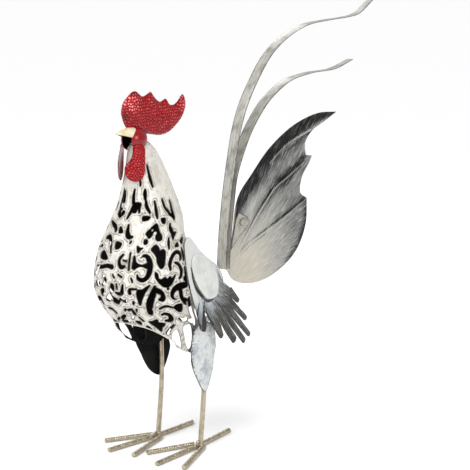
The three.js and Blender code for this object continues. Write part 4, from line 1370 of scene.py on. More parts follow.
        # On the right side, holes that aren't broad flank holes are pressed in and painted black
        # instead of cut through; the black stands for the hollow seen through them, partly the
        # inside's black paint and partly painted shade.
        for rows in self.hackle_slits[1:] + flank:
            through = self.is_broad(rows) and rows in self.flank_strokes + self.flank_patches
            self.cut(metal if through else pressed, run, z, rows, -1)
        for side in (1, -1):
            for s, height, reach in self.balls:
                ball = reach - np.hypot(run - side * s, z - height)
                metal, pressed = np.maximum(metal, ball), np.maximum(pressed, ball)
            for s, height, reach in self.dots:
                metal = np.minimum(metal, np.hypot(run - side * s, z - height) - reach)
        edge = np.minimum(z - FORM.rim_height(turn), FORM.top - z)
        fields = []
        pressed = np.where(edge > margin, pressed, FREE)
        for values, bound in ((metal, edge), (pressed, FREE)):
            values[:, -1] = values[:, 0]
            made = Cutting(turns * self.radius, heights, values, wrap=True)
            made.soften(self.soft)
            made.field = np.minimum(made.field, bound)
            fields.append(made)
        return fields[0], fields[1]

    def cut(self, values: Array, run: Array, z: Array, rows: Points, side: int) -> None:
        """Takes one hole out of a field: a stroke where it has widths, else a patch.

        Args:
            values: The field, changed in place.
            run: Length round from the breast at the field's nodes.
            z: Height at the nodes.
            rows: The hole's points.
            side: 1 for the left side and -1 for its mirror image.
        """
        reach = 8
        if len(rows[0]) == 3:
            shape, measure = smooth_path(rows, 5), inside_stroke
        else:
            shape, measure = smooth_path(rows, 3, closed=True), inside_loop
        shape[:, 0] *= side
        low, high = shape[:, :2].min(0) - reach, shape[:, :2].max(0) + reach
        near = (run > low[0]) & (run < high[0]) & (z > low[1]) & (z < high[1])
        if near.any():
            inside = measure(run[near], z[near], shape) + self.kerf
            values[near] = np.minimum(values[near], -inside)


@dataclass
class Body:
    """The pierced shell with its rolled rim."""

    wall: float = 1.2
    fretwork: Fretwork = field(default_factory=Fretwork)

    def build(self) -> None:
        """Makes the shell and the rim bead."""
        cutting, pressed = self.fretwork.shape()
        blank = cutting.blank(2.0, 0.7, pressed)
        turn, z = blank.points[:, 0] / self.fretwork.radius, blank.points[:, 1]
        place, way = FORM.point(turn, z), FORM.normal(turn, z)
        rounding = 0.3 * np.exp(-blank.depth / 0.5) + 0.5 * np.minimum(blank.sunk, 0.8)
        sink = 0.3 + rounding[:, None]
        Sheet(
            "body_fretwork", blank, place - way * sink, place - way * (self.wall + 0.1),
            CREAM, BLACK,
        ).build("cream_paint", "body_shell")
        turns = np.linspace(-math.pi, math.pi, 160)
        low = FORM.rim_height(turns) + 0.7
        path = FORM.point(turns, low) - FORM.normal(turns, low) * 0.35
        RodWork("body_rim_bead", path, 0.6, 0.0, 3.0, CREAM).build("cream_paint")


def new_growth(name: str, numbers: Sequence[str]) -> tuple[NodeTree, Node]:
    """Starts a geometry node tree that takes a geometry, numbers and a finish.

    Args:
        name: The tree's name.
        numbers: Names of the numbers that it takes.

    Returns:
        The tree and its input node.
    """
    tree = bpy.data.node_groups.new(name, "GeometryNodeTree")
    face = tree.interface
    face.new_socket("Geometry", in_out="INPUT", socket_type="NodeSocketGeometry")
    for number in numbers:
        face.new_socket(number, in_out="INPUT", socket_type="NodeSocketFloat")
    face.new_socket("Finish", in_out="INPUT", socket_type="NodeSocketMaterial")
    face.new_socket("Geometry", in_out="OUTPUT", socket_type="NodeSocketGeometry")
    return tree, tree.nodes.new("NodeGroupInput")


def end_growth(start: Node, shape: Socket) -> None:
    """Ends a tree: makes the shape real and gives it the finish.

    Args:
        start: The tree's input node.
        shape: What the tree has made.
    """
    tree = start.id_data
    real = tree.nodes.new("GeometryNodeRealizeInstances")
    dress = tree.nodes.new("GeometryNodeSetMaterial")
    end = tree.nodes.new("NodeGroupOutput")
    tree.links.new(shape, real.inputs[0])
    tree.links.new(real.outputs[0], dress.inputs["Geometry"])
    tree.links.new(start.outputs["Finish"], dress.inputs["Material"])
    tree.links.new(dress.outputs[0], end.inputs[0])


def grown_by_nodes(
    name: str, places: Array, edges: Sequence[tuple[int, int]],
    tree: NodeTree, inputs: dict[str, object],
) -> Piece:
    """Runs a node tree on points and edges and keeps what it makes as a plain mesh.

    Args:
        name: The piece's name.
        places: The points in drawn millimetres.
        edges: Pairs of point numbers.
        tree: The node tree.
        inputs: Values of its inputs by name.

    Returns:
        The piece.
    """
    mesh = bpy.data.meshes.new(name)
    mesh.from_pydata(Bench.place(places).tolist(), edges, [])
    piece = bpy.data.objects.new(name, mesh)
    bpy.context.scene.collection.objects.link(piece)
    modifier = piece.modifiers.new(tree.name, "NODES")
    modifier.node_group = tree
    for item in tree.interface.items_tree:
        if item.in_out == "INPUT" and item.name in inputs:
            modifier[item.identifier] = inputs[item.name]
    graph = bpy.context.evaluated_depsgraph_get()
    made = bpy.data.meshes.new_from_object(piece.evaluated_get(graph), depsgraph=graph)
    piece.modifiers.remove(modifier)
    piece.data = made
    add_values(piece, "edge", np.full(len(made.vertices), PLAIN))
    drawn_grain(piece)
    made.shade_smooth()
    return piece


@dataclass
class RodWork:
    """Round rod along a path, with rolled ribs round it where it has them.

    Args:
        name: The piece's name.
        path: Points of its centre line in drawn millimetres.
        radius: Radius outside its ribs.
        rib: Height of a rib.
        pitch: Distance from rib to rib.
        paint: Its finish.
    """

    name: str
    path: Array
    radius: float
    rib: float
    pitch: float
    paint: Finish

    @staticmethod
    def tree() -> NodeTree:
        """The node tree that sweeps a ribbed rod along a line of edges, made once.

        Returns:
            The tree.
        """
        known = bpy.data.node_groups.get("ribbed rod")
        if known:
            return known
        tree, start = new_growth("ribbed rod", ("Radius", "Rib", "Pitch"))
        add, join = tree.nodes.new, tree.links.new
        curve = add("GeometryNodeMeshToCurve")
        join(start.outputs["Geometry"], curve.inputs[0])
        even = add("GeometryNodeResampleCurve")
        even.mode = "LENGTH"
        even.inputs["Length"].default_value = 0.0008
        join(curve.outputs[0], even.inputs["Curve"])
        along = add("GeometryNodeSplineParameter")
        turns = sum_node(tree, "DIVIDE", along.outputs["Length"], start.outputs["Pitch"])
        wave = sum_node(tree, "SINE", sum_node(tree, "MULTIPLY", turns, 2 * math.pi))
        sunk = sum_node(tree, "SUBTRACT", sum_node(tree, "MAXIMUM", wave, 0.0), 1.0)
        height = sum_node(tree, "MULTIPLY", start.outputs["Rib"], sunk)
        width = sum_node(tree, "ADD", start.outputs["Radius"], height)
        ring = add("GeometryNodeCurvePrimitiveCircle")
        ring.inputs["Resolution"].default_value = 14
        ring.inputs["Radius"].default_value = 1.0
        swept = add("GeometryNodeCurveToMesh")
        swept.inputs["Fill Caps"].default_value = True
        join(even.outputs[0], swept.inputs["Curve"])
        join(width, swept.inputs["Scale"])
        join(ring.outputs[0], swept.inputs["Profile Curve"])
        end_growth(start, swept.outputs[0])
        return tree

    def build(self, slot: str, *nodes: str) -> None:
        """Makes the rod and files it.

        Args:
            slot: The record's material slot for it.
            *nodes: The CAD nodes that it stands for.
        """
        edges = [(i, i + 1) for i in range(len(self.path) - 1)]
        sizes = {"Radius": self.radius, "Rib": self.rib, "Pitch": self.pitch}
        inputs = {name: size / MM_PER_METRE for name, size in sizes.items()}
        inputs["Finish"] = Bench.paint(self.paint)
        piece = grown_by_nodes(self.name, self.path, edges, self.tree(), inputs)
        piece.data.set_sharp_from_angle(angle=ROD_CREASE)
        Bench.file(piece, slot, *nodes)


@dataclass
class Beads:
    """Small domed spots set on places by a node tree: weld beads and rivet heads.

    Args:
        name: The piece's name.
        places: Points in drawn millimetres.
        size: Radius of a spot.
        uneven: How much the spots differ in size, from 0 to 1.
        squash: Height of a spot as a share of its radius, along X.
        paint: Their finish.
    """

    name: str
    places: Array
    size: float
    uneven: float
    squash: float
    paint: Finish

    @staticmethod
    def tree() -> NodeTree:
        """The node tree that sets spots on points, made once.

        Returns:
            The tree.
        """
        known = bpy.data.node_groups.get("set spots")
        if known:
            return known
        tree, start = new_growth("set spots", ("Size", "Uneven", "Squash"))
        add, join = tree.nodes.new, tree.links.new
        spot = add("GeometryNodeMeshUVSphere")
        spot.inputs["Segments"].default_value = 16
        spot.inputs["Rings"].default_value = 9
        spot.inputs["Radius"].default_value = 1.0
        chance = add("FunctionNodeRandomValue")
        chance.inputs["Seed"].default_value = 4
        floats = [s for s in chance.inputs if s.type == "VALUE"]
        join(sum_node(tree, "SUBTRACT", 1.0, start.outputs["Uneven"]), floats[0])
        floats[1].default_value = 1.0
        drawn = [s for s in chance.outputs if s.type == "VALUE"][0]
        scale = sum_node(tree, "MULTIPLY", drawn, start.outputs["Size"])
        flat = sum_node(tree, "MULTIPLY", scale, start.outputs["Squash"])
        sizes = add("ShaderNodeCombineXYZ")
        for value, slot in zip((flat, scale, scale), sizes.inputs):
            join(value, slot)
        copies = add("GeometryNodeInstanceOnPoints")
        join(start.outputs["Geometry"], copies.inputs["Points"])
        join(spot.outputs["Mesh"], copies.inputs["Instance"])
        join(sizes.outputs[0], copies.inputs["Scale"])
        end_growth(start, copies.outputs[0])
        return tree

    def build(self, slot: str) -> None:
        """Makes the spots and files them.

        Args:
            slot: The record's material slot for them.
        """
        piece = grown_by_nodes(self.name, self.places, [], self.tree(), {
            "Size": self.size / MM_PER_METRE, "Uneven": self.uneven,
            "Squash": self.squash, "Finish": Bench.paint(self.paint),
        })
        add_values(piece, "relief", np.full(len(piece.data.vertices), 0.6))
        Bench.file(piece, slot)


@dataclass
class Head:
    """The hollow hood, the folded beak, the pressed comb and the two wattles.

    The mouth is the hood's opening as half width, back and top. The beak's base and tip
    each hold their place along, their top, their low edge and their half width.
    """

    centre: tuple[float, float] = (-74.0, 357.0)
    half: tuple[float, float, float] = (13.5, 15.5, 14.0)
    wall: float = 1.2
    comb_outline: tuple = (
        (-87, 371), (-92, 379), (-94.5, 387), (-91, 398), (-84, 404), (-76, 408.6),
        (-70, 408.6), (-60, 402.6), (-51, 405), (-46, 407), (-40, 401), (-30, 395),
        (-20, 398), (-14, 391.4), (-6, 390.6), (2, 394.6), (10, 401.4), (14, 390), (10, 379),
        (-2, 368), (-15, 361), (-30, 358.6), (-45, 360.6), (-66, 364),
    )
    wattle_outline: tuple = (
        (-85.6, 352), (-87, 346), (-89.4, 339), (-94.6, 331), (-95.4, 325), (-93.2, 318),
        (-88, 314), (-82, 313.6), (-77.5, 317), (-75, 324), (-74.4, 334), (-75.4, 352),
    )
    mouth: tuple[float, float, float] = (7.2, -77.0, 362.0)
    beak_base: tuple[float, float, float, float] = (-78.0, 371.4, 358.0, 9.8)
    beak_tip: tuple[float, float, float, float] = (-103.0, 366.6, 364.6, 0.9)
    beak_plate: float = 0.8

    def egg(self, lon: Array, lat: Array, less: float) -> Array:
        """Points on the hood's egg.

        Args:
            lon: Angles round it, 0 at the front.
            lat: Angles up from its middle.
            less: How much smaller it is all round.

        Returns:
            One point for each pair of angles.
        """
        hx, hy, hz = (size - less for size in self.half)
        return np.stack([
            hx * np.cos(lat) * np.sin(lon),
            self.centre[0] - hy * np.cos(lat) * np.cos(lon),
            self.centre[1] + hz * np.sin(lat),
        ], -1)

    def hood(self) -> None:
        """The hood, open at the mouth and over the neck."""
        scale, most, clear = 14.0, 5, 1.04
        lons = np.linspace(-math.pi, math.pi, 121)
        lats = np.linspace(-1.45, math.pi / 2, 84)
        lon, lat = np.meshgrid(lons, lats)
        p = self.egg(lon, lat, 0)
        half, back, top = self.mouth
        metal = np.maximum(np.maximum(np.abs(p[..., 0]) - half, p[..., 1] - back),
                           p[..., 2] - top)
        middle, side, front, back, _ = FORM.section(np.minimum(p[..., 2], FORM.top))
        reach = np.where(p[..., 1] < middle, front, back)
        neck = np.hypot(p[..., 0] / side, (p[..., 1] - middle) / reach) - clear
        metal = np.minimum(metal, np.where(p[..., 2] < FORM.top + 0.5, neck * side, most))
        metal[:, -1] = metal[:, 0]
        metal = np.clip(metal, -most, most)
        cutting = Cutting(lons * scale, lats * scale, metal, wrap=True)
        blank = cutting.blank(1.6, 0.6)
        lon, lat = blank.points[:, 0] / scale, blank.points[:, 1] / scale
        Sheet(
            "hood_shell", blank, self.egg(lon, lat, 0.1), self.egg(lon, lat, self.wall),
            HOOD_RED, BLACK, relief=np.full(len(lon), 0.5),
        ).build("red_paint", "hood")

    def beak(self) -> None:
        """The folded beak with a rolled ridge, open underneath."""
        columns, rows, girth, length = 29, 23, 30, 26
        least, bow, seat = 0.12, 1.6, 0.3
        u, v = np.meshgrid(np.linspace(0, 1, columns), np.linspace(0, 1, rows))
        back, back_top, back_low, back_half = self.beak_base
        tip, tip_top, tip_low, tip_half = self.beak_tip
        faces = []
        for inset in (0.0, self.beak_plate):
            half = tip_half + (back_half - tip_half) * (1 - v**1.25) - inset
            top = tip_top + (back_top - tip_top) * (1 - v) + bow * np.sin(math.pi * v)
            low = tip_low + (back_low - tip_low) * (1 - v) ** 1.2
            turn = math.pi * (u - 0.5)
            x = np.sin(turn) * np.maximum(half, least)
            y = back + (tip - back + inset) * v
            z = low + np.cos(turn) ** 0.9 * np.maximum(top - low - inset, least)
            faces.append(np.stack([x, y, z], -1).reshape(-1, 3))
        middle = np.array([0, *self.centre])
        hidden = 1 - (((faces[0] - middle) / (np.array(self.half) - seat)) ** 2).sum(1)
        points = np.stack([u.ravel() * girth, v.ravel() * length], -1)
        tris = grid_triangles(rows, columns)
        tris = tris[(hidden[tris] < 0).any(1)]
        depth = np.minimum(points[:, 0], girth - points[:, 0])
        blank = Blank(points, tris, depth)
        Sheet("beak_fold", blank, faces[0], faces[1], BEAK, BLACK).build("beak_paint", "beak")

    def comb(self) -> None:
        """The thick comb, hammered all over."""
        loop = smooth_path(self.comb_outline, 3, closed=True)
        cutting = flat_cutting([loop], 0.8, 0.5)
        blank = cutting.blank(0.68, 0.6)
        y, z = blank.points.T
        depth = blank.depth
        bumps = pebbles(y, z, 3.7, 12)
        round_off = np.sqrt(unit((depth + 0.05) / 1.6))
        half = (1.4 + 4.6 * (1 - np.exp(-depth / 8))) * round_off
        half = np.maximum(half - 0.5, 0.25) + 0.95 * bumps * unit(depth / 2)
        both = [np.stack([way * half, y, z], -1) for way in (1, -1)]
        # Painted highlight: the relief is raised in two broad spots near the upper edge so the
        # enamel paints them pale.
        painted_highlight = 0.4 * np.exp(-((np.hypot(y + 82, z - 397) / 9) ** 2))
        painted_highlight += 0.25 * np.exp(-((np.hypot(y - 8, z - 388) / 7) ** 2))
        # Painted shade on the comb's left front, which faces away from the light; the comb is also
        # darkened at the tops of its points and along its rim.
        dark = np.exp(-((np.hypot(y + 91, (z - 383) * 0.6) / 4.5) ** 2))
        dark = np.maximum(dark, unit((z - 404) / 4)) * 0.55
        dark = np.maximum(dark, 0.5 * np.exp(-depth / 0.5))
        Sheet(
            "comb_pressing", blank, *both, RED, RED, relief=bumps + painted_highlight, dark_wear_and_shade=dark,
        ).build("red_paint", "comb")

    def wattles(self) -> None:
        """The two wattles, embossed on their outer faces."""
        loop = smooth_path(self.wattle_outline, 4, closed=True)
        cutting = flat_cutting([loop], 0.6, 0.4)
        blank = cutting.blank(0.55, 0.5)
        y, z = blank.points.T
        neck = FORM.half_width(y, np.minimum(z, FORM.top)) + 0.6
        bulge = 2.4 * np.maximum(0, 1 - ((y + 84) / 11) ** 2) * np.maximum(
            0, 1 - ((z - 328) / 20) ** 2)
        face = np.maximum(neck, 4 + 0.5 * (y + 95.5) + bulge)
        # The bumps' height also paints the enamel: painted shade in the dimples and painted glints
        # on the crowns. The wattles are darkened along their cut edges.
        bumps = pebbles(y, z, 3.0, 5)
        bumps = 0.55 + (bumps - 0.55) * unit((347 - z) / 6)
        rise = 0.8 + 0.9 * bumps * unit(blank.depth / 1.2)
        rise -= 0.5 * np.exp(-blank.depth / 0.6)
        for side in Side:
            outer = np.stack([(face + rise) * side.value, y, z], -1)
            inner = np.stack([face * side.value, y, z], -1)
            Sheet(
                f"wattle_{side.label}_pressing", blank, outer, inner, RED, HOOD_RED,
                relief=bumps, dark_wear_and_shade=0.6 * np.exp(-blank.depth / 0.4),
            ).build("red_paint", f"wattle_{side.label}")

    def build(self) -> None:
        """Makes the whole head."""
        self.hood()
        self.beak()
        self.comb()
        self.wattles()


@dataclass
class Wing:
    """One wing sheet with its feathers, and the shoulder plate riveted over it.

    A feather holds its root, its tip and the widths there. The fan is the place that the
    brushing circles, shadows are black strokes and grooves are pressed lines.
    """

    side: Side
    plate: float = 1.0
    palm: tuple = (
        (-43, 249.6), (-37, 250.6), (-28, 237), (-17, 226), (-4, 215.6), (5.7, 198.5),
        (18.7, 188.4), (23, 185), (27, 173), (24, 163.6), (22, 153.4), (14.4, 149.6),
        (3.4, 146), (-14, 153), (-22, 163.4), (-25.7, 166), (-21, 154), (-23, 143.4),
        (-31.4, 146.6), (-36, 156.5), (-45, 179.6), (-54, 204.3), (-55.4, 223), (-52.4, 237),
        (-49.6, 244),
    )
    feathers: tuple = (
        ((-9, 158), (9.6, 131.6), 16, 8), ((8.4, 152), (36, 121.4), 11.4, 9.6),
        ((16, 156), (56.4, 116.6), 8.6, 7.4), ((22, 161), (67.4, 122), 9, 6.6),
        ((24, 170), (59, 142.6), 8.8, 6.6), ((22, 182), (41, 167), 10.6, 6.4),
    )
    covert: tuple = (
        (-42, 230), (-47, 221), (-45.4, 208), (-39.6, 196.4), (-33, 189), (-26, 182.4),
        (-15.6, 180), (-6, 183), (-2.8, 194), (-5, 206.6), (-14.6, 220), (-25.6, 229),
        (-35, 232),
    )
    rivets: tuple = ((-26.0, 209.6), (-21.4, 206.4))
    fan: tuple[float, float] = (-60.0, 231.0)
    shadows: tuple = (
        ((-48, 219, 1.4), (-46.6, 206, 2.8), (-41, 195, 3.4), (-34, 187.6, 3.6),
         (-28, 182, 2.4)),
        ((-26.6, 180.6, 2.0), (-19.6, 177.6, 3.4), (-12, 178, 2.4), (-6, 180, 1.0)),
        ((-26.4, 178, 1.6), (-27, 165, 4.6), (-26, 155, 8.0), (-25, 146, 8.0)),
        ((-36, 178, 1.0), (-39, 162, 3.4), (-33, 150, 4.0)),
        ((-24, 172, 0.8), (-20, 162, 2.6), (-8, 148, 2.0)),
        ((-6, 176, 0.6), (12, 160, 1.6), (30, 138, 1.0)),
    )
    grooves: tuple = (
        ((-46, 214), (-38, 186), (-24, 168), (6, 148)), ((-40, 190), (-22, 172), (6, 158)),
        ((-30, 182), (-10, 168), (16, 159)), ((-16, 178), (4, 168), (24, 165)),
        ((-4, 182), (10, 178), (26, 176)),
    )

    def face(self, y: Array, z: Array) -> Array:
        """Inner face of the wing, which follows the body's bulge.

        Args:
            y: First coordinates.
            z: Heights.

        Returns:
            Its distance from the middle plane.
        """
        side = FORM.section(np.maximum(z, 195))[1]
        drop = unit((195 - z) / 60)
        return side * (1 - 0.06 * ((y + 58) / 100) ** 2) - 2 * drop**2 + 0.6

    def feather(self, root: Sequence[float], tip: Sequence[float], wide: float,
                narrow: float) -> Array:
        """Outline of one feather with a blunt tip.

        Args:
            root: Where it starts.
            tip: Where it ends.
            wide: Its width at the root.
            narrow: Its width at the tip.

        Returns:
            The outline's points.
        """
        start, end = np.array(root, float), np.array(tip, float)
        along = (end - start) / np.linalg.norm(end - start)
        across = np.array([-along[1], along[0]])
        rows = [(start, 0, -wide / 2), (end, -1.8, -narrow / 2), (end, 0.6, -narrow / 2.6),
                (end, 2.0, -narrow / 8), (end, 2.2, narrow / 5), (end, 1.0, narrow / 2.3),
                (end, -1.6, narrow / 2), (start, 0, wide / 2)]
        return np.array([base + along * f + across * s for base, f, s in rows])

    def relief(self, y: Array, z: Array) -> Array:
        """Folds down the feathers and grooves across the palm.

        Args:
            y: First coordinates.
            z: Heights.

        Returns:
            The height of the face in millimetres.
        """
        height = np.zeros(y.shape)
        for root, tip, wide, _ in self.feathers:
            away, along = path_distance(y, z, np.array([root, tip], float))
            fold = unit(1 - away / (wide * 0.36))
            height = np.maximum(height, 0.9 * fold * unit(along * 4))
        for rows in self.grooves:
            away, along = path_distance(y, z, smooth_path(rows, 5))
            height -= 0.45 * np.exp(-(away / 1.1) ** 2) * np.sin(math.pi * (0.1 + 0.8 * along))
        return height

    def build(self) -> None:
        """Makes the wing and its shoulder plate."""
        way = self.side.value
        loops = [smooth_path(self.palm, 3, closed=True)]
        loops += [self.feather(*row) for row in self.feathers]
        cutting = flat_cutting(loops, 0.7, 0.4)
        gy, gz = np.meshgrid(cutting.xs, cutting.ys)
        for first, second in zip(self.feathers[:-1], self.feathers[1:]):
            root = (np.array(first[0]) + second[0]) / 2
            tip = (np.array(first[1]) + second[1]) / 2
            slit = np.array([[*(root + 0.12 * (tip - root)), 0.5], [*tip, 1.9]])
            cutting.field = np.minimum(cutting.field, -inside_stroke(gy, gz, slit))
        blank = cutting.blank(1.0, 0.6)
        y, z = blank.points.T
        base = self.face(y, z)
        top = base + self.plate - 0.3 + self.relief(y, z) * unit(blank.depth / 1.5)
        outer = np.stack([top * way, y, z], -1)
        inner = np.stack([base * way, y, z], -1)
        reach = np.hypot(y - self.fan[0], z - self.fan[1])
        turn = np.arctan2(z - self.fan[1], y - self.fan[0])
        tone = 1 - unit((reach - 44) / 62)
        tone -= 0.18 * np.exp(-blank.depth / 0.8) * (tone < 0.8)
        # The shadow strokes are painted black onto the sheet: painted shadow along the shoulder
        # plate's edge and painted shade on the feathers below it.
        dark_wear_and_shade = np.zeros(len(y))
        for rows in self.shadows:
            inked = inside_stroke(y, z, smooth_path(rows, 5))
            dark_wear_and_shade = np.maximum(dark_wear_and_shade, unit(inked / 0.7 + 0.7))
        Sheet(
            f"wing_{self.side.label}_sheet", blank, outer, inner, WING_PAINT, BLACK,
            tone=tone, dark_wear_and_shade=dark_wear_and_shade, grain=np.stack([turn * 80, reach, 0 * reach], -1),
        ).build("wing_paint", f"wing_{self.side.label}")
        blank = flat_cutting([smooth_path(self.covert, 4, closed=True)], 0.8, 0.4)
        blank = blank.blank(1.8, 0.6)
        y, z = blank.points.T
        lift = 1.8 * unit((215 - z) / 30)
        base = self.face(y, z) + self.plate + 0.3 + lift
        crown = 0.5 * unit(blank.depth / 12) - 0.35 * np.exp(-blank.depth / 0.6)
        outer = np.stack([(base + self.plate - 0.15 + crown) * way, y, z], -1)
        inner = np.stack([base * way, y, z], -1)
        Sheet(
            f"covert_{self.side.label}_plate", blank, outer, inner, COVERT_PAINT, BLACK,
        ).build("cream_paint", f"covert_{self.side.label}")
        spots = np.array(self.rivets)
        lift = 1.8 * unit((215 - spots[:, 1]) / 30)
        high = self.face(spots[:, 0], spots[:, 1]) + 2 * self.plate + 0.4 + lift
        places = np.stack([high * way, spots[:, 0], spots[:, 1]], -1)
        rivets = Beads(f"rivets_{self.side.label}", places, 2.1, 0.1, 0.42, COVERT_PAINT)
        rivets.build("cream_paint")


@dataclass
class Leg:
    """One leg: its thigh plate, its rod and its three ribbed toe rods.

    A toe is a turn in degrees, outward above 0, and a reach from the ankle.
    """

    side: Side
    across: float = 31.2
    rod: float = 6.0
    rib: float = 0.55
    pitch: float = 3.0
    gap: float = 0.3
    plate: float = 1.0

    THIGH = {
        Side.LEFT: (
            (-28.4, 143), (-28.6, 134), (-27, 123), (-22.8, 111), (-20, 101), (-16, 91),
            (-11, 82), (-5, 72), (2, 65.4), (7, 66.6), (12, 73), (17, 80.4), (22, 90),
            (24, 101), (23.4, 112), (18.6, 123), (13.4, 133.6), (2, 146), (-9, 151),
            (-20, 150),
        ),
        Side.RIGHT: (
            (-28, 143), (-32, 132), (-32.3, 121), (-26.7, 105), (-18, 91.6), (-7, 80.2),
            (7.4, 73), (12, 76.6), (16.2, 82.6), (20.6, 92), (25.4, 107), (24, 120),
            (16, 134), (4, 147), (-9, 151), (-20, 150),
        ),
    }
    TOES = {
        Side.LEFT: {"front": (2, 83), "back": (-6, 64), "outer": (25, 83),
                    "inner": (-27.5, 66)},
        Side.RIGHT: {"front": (6.5, 77.5), "back": (-1, 64), "outer": (34, 64),
                     "inner": (-18.6, 79)},
    }

    def toe_point(self, turn: float, reach: float) -> Array:
        """A place at the toes' level seen from the left ankle.

        Args:
            turn: Degrees from straight ahead, outward above 0.
            reach: Distance from the ankle.

        Returns:
            The point.
        """
        angle = math.radians(turn)
        return np.array([
            self.across + math.sin(angle) * reach, -math.cos(angle) * reach, self.rod / 2,
        ])

    def thigh(self) -> None:
        """The thigh plate, hollow along the rod and leaning out above it."""
        loop = smooth_path(self.THIGH[self.side], 3, closed=True)
        blank = flat_cutting([loop], 0.8, 0.4).blank(1.2, 0.6)
        y, z = blank.points.T
        lean = 0.26 * np.maximum(0, z - 105)
        hollow = 3 - 1.5 * unit((z - 95) / 20)
        base = self.across + self.rod / 2 + 2 * self.gap + lean
        base = base + hollow * (0.11 - ((y + 4) / 27) ** 2)
        ridge = 0.5 * np.exp(-((y - 2 + 0.18 * (z - 66)) / 5) ** 2)
        top = base + self.plate - 0.3 + ridge - 0.35 * np.exp(-blank.depth / 0.6)
        outer = np.stack([top * self.side.value, y, z], -1)
        inner = np.stack([base * self.side.value, y, z], -1)
        chipped = 2.4 * (pebbles(y, z, 5.0, 7) < 0.62) * np.exp(-blank.depth / 2.2)
        chipped *= unit(-y / 6) * unit((z - 88) / 12)
        Sheet(
            f"thigh_{self.side.label}_plate", blank, outer, inner, THIGH_PAINT, BLACK,
            dark_wear_and_shade=np.clip(chipped - 0.1, 0, 0.95),
        ).build("cream_paint", f"thigh_{self.side.label}")

    def rods(self) -> None:
        """The leg rod, the toe rods and the weld round the ankle."""
        mirror = np.array([self.side.value, 1, 1])
        toes = self.TOES[self.side]
        label = self.side.label
        radius = self.rod / 2
        rows = [(0, self.rod + self.gap), (7, 73), (6.4, 112), (6.4, 122)]
        path = smooth_path(rows, 8)
        shaft = np.stack([np.full(len(path), self.across), path[:, 0], path[:, 1]], -1)
        work = RodWork(f"leg_{label}_rod", shaft * mirror, radius - 0.05, 0.0, 5, LEG)
        work.build("leg_paint", f"leg_{label}")
        rear = self.toe_point(*toes["back"]) * (1, -1, 1)
        front = self.toe_point(*toes["front"])
        knots = np.array([rear, self.toe_point(0, 0), front])
        flat = smooth_path(knots[:, :2], 8)
        path = np.column_stack([flat, np.full(len(flat), radius)])
        ribbed = (radius - 0.02, self.rib, self.pitch, LEG)
        work = RodWork(f"long_toe_{label}_rod", path * mirror, *ribbed)
        work.build("leg_paint", f"long_toe_{label}")
        for which in ("inner", "outer"):
            turn, reach = toes[which]
            start = self.toe_point(0, 0)
            start[0] += math.copysign(1.1 * self.rod + self.gap, turn)
            start[1] -= radius
            path = np.linspace(start, self.toe_point(turn, reach), 8)
            work = RodWork(f"{which}_toe_{label}_rod", path * mirror, *ribbed)
            work.build("leg_paint", f"{which}_toe_{label}")
        ankle = self.toe_point(0, 0)
        spots = np.array([
            ankle + (dx, dy, dz)
            for dx, dy, dz in ((0, 0, 3.2), (2.4, -1.6, 2.6), (-2.4, -1.6, 2.6), (0, 2.6, 2.6),
                               (4.2, -3.6, 0.4), (-4.2, -3.6, 0.4))
        ])
        weld = Beads(f"ankle_weld_{label}", spots * mirror, 2.5, 0.3, 1.0, LEG)
        weld.build("leg_paint")

    def build(self) -> None:
        """Makes the whole leg."""
        self.thigh()
        self.rods()


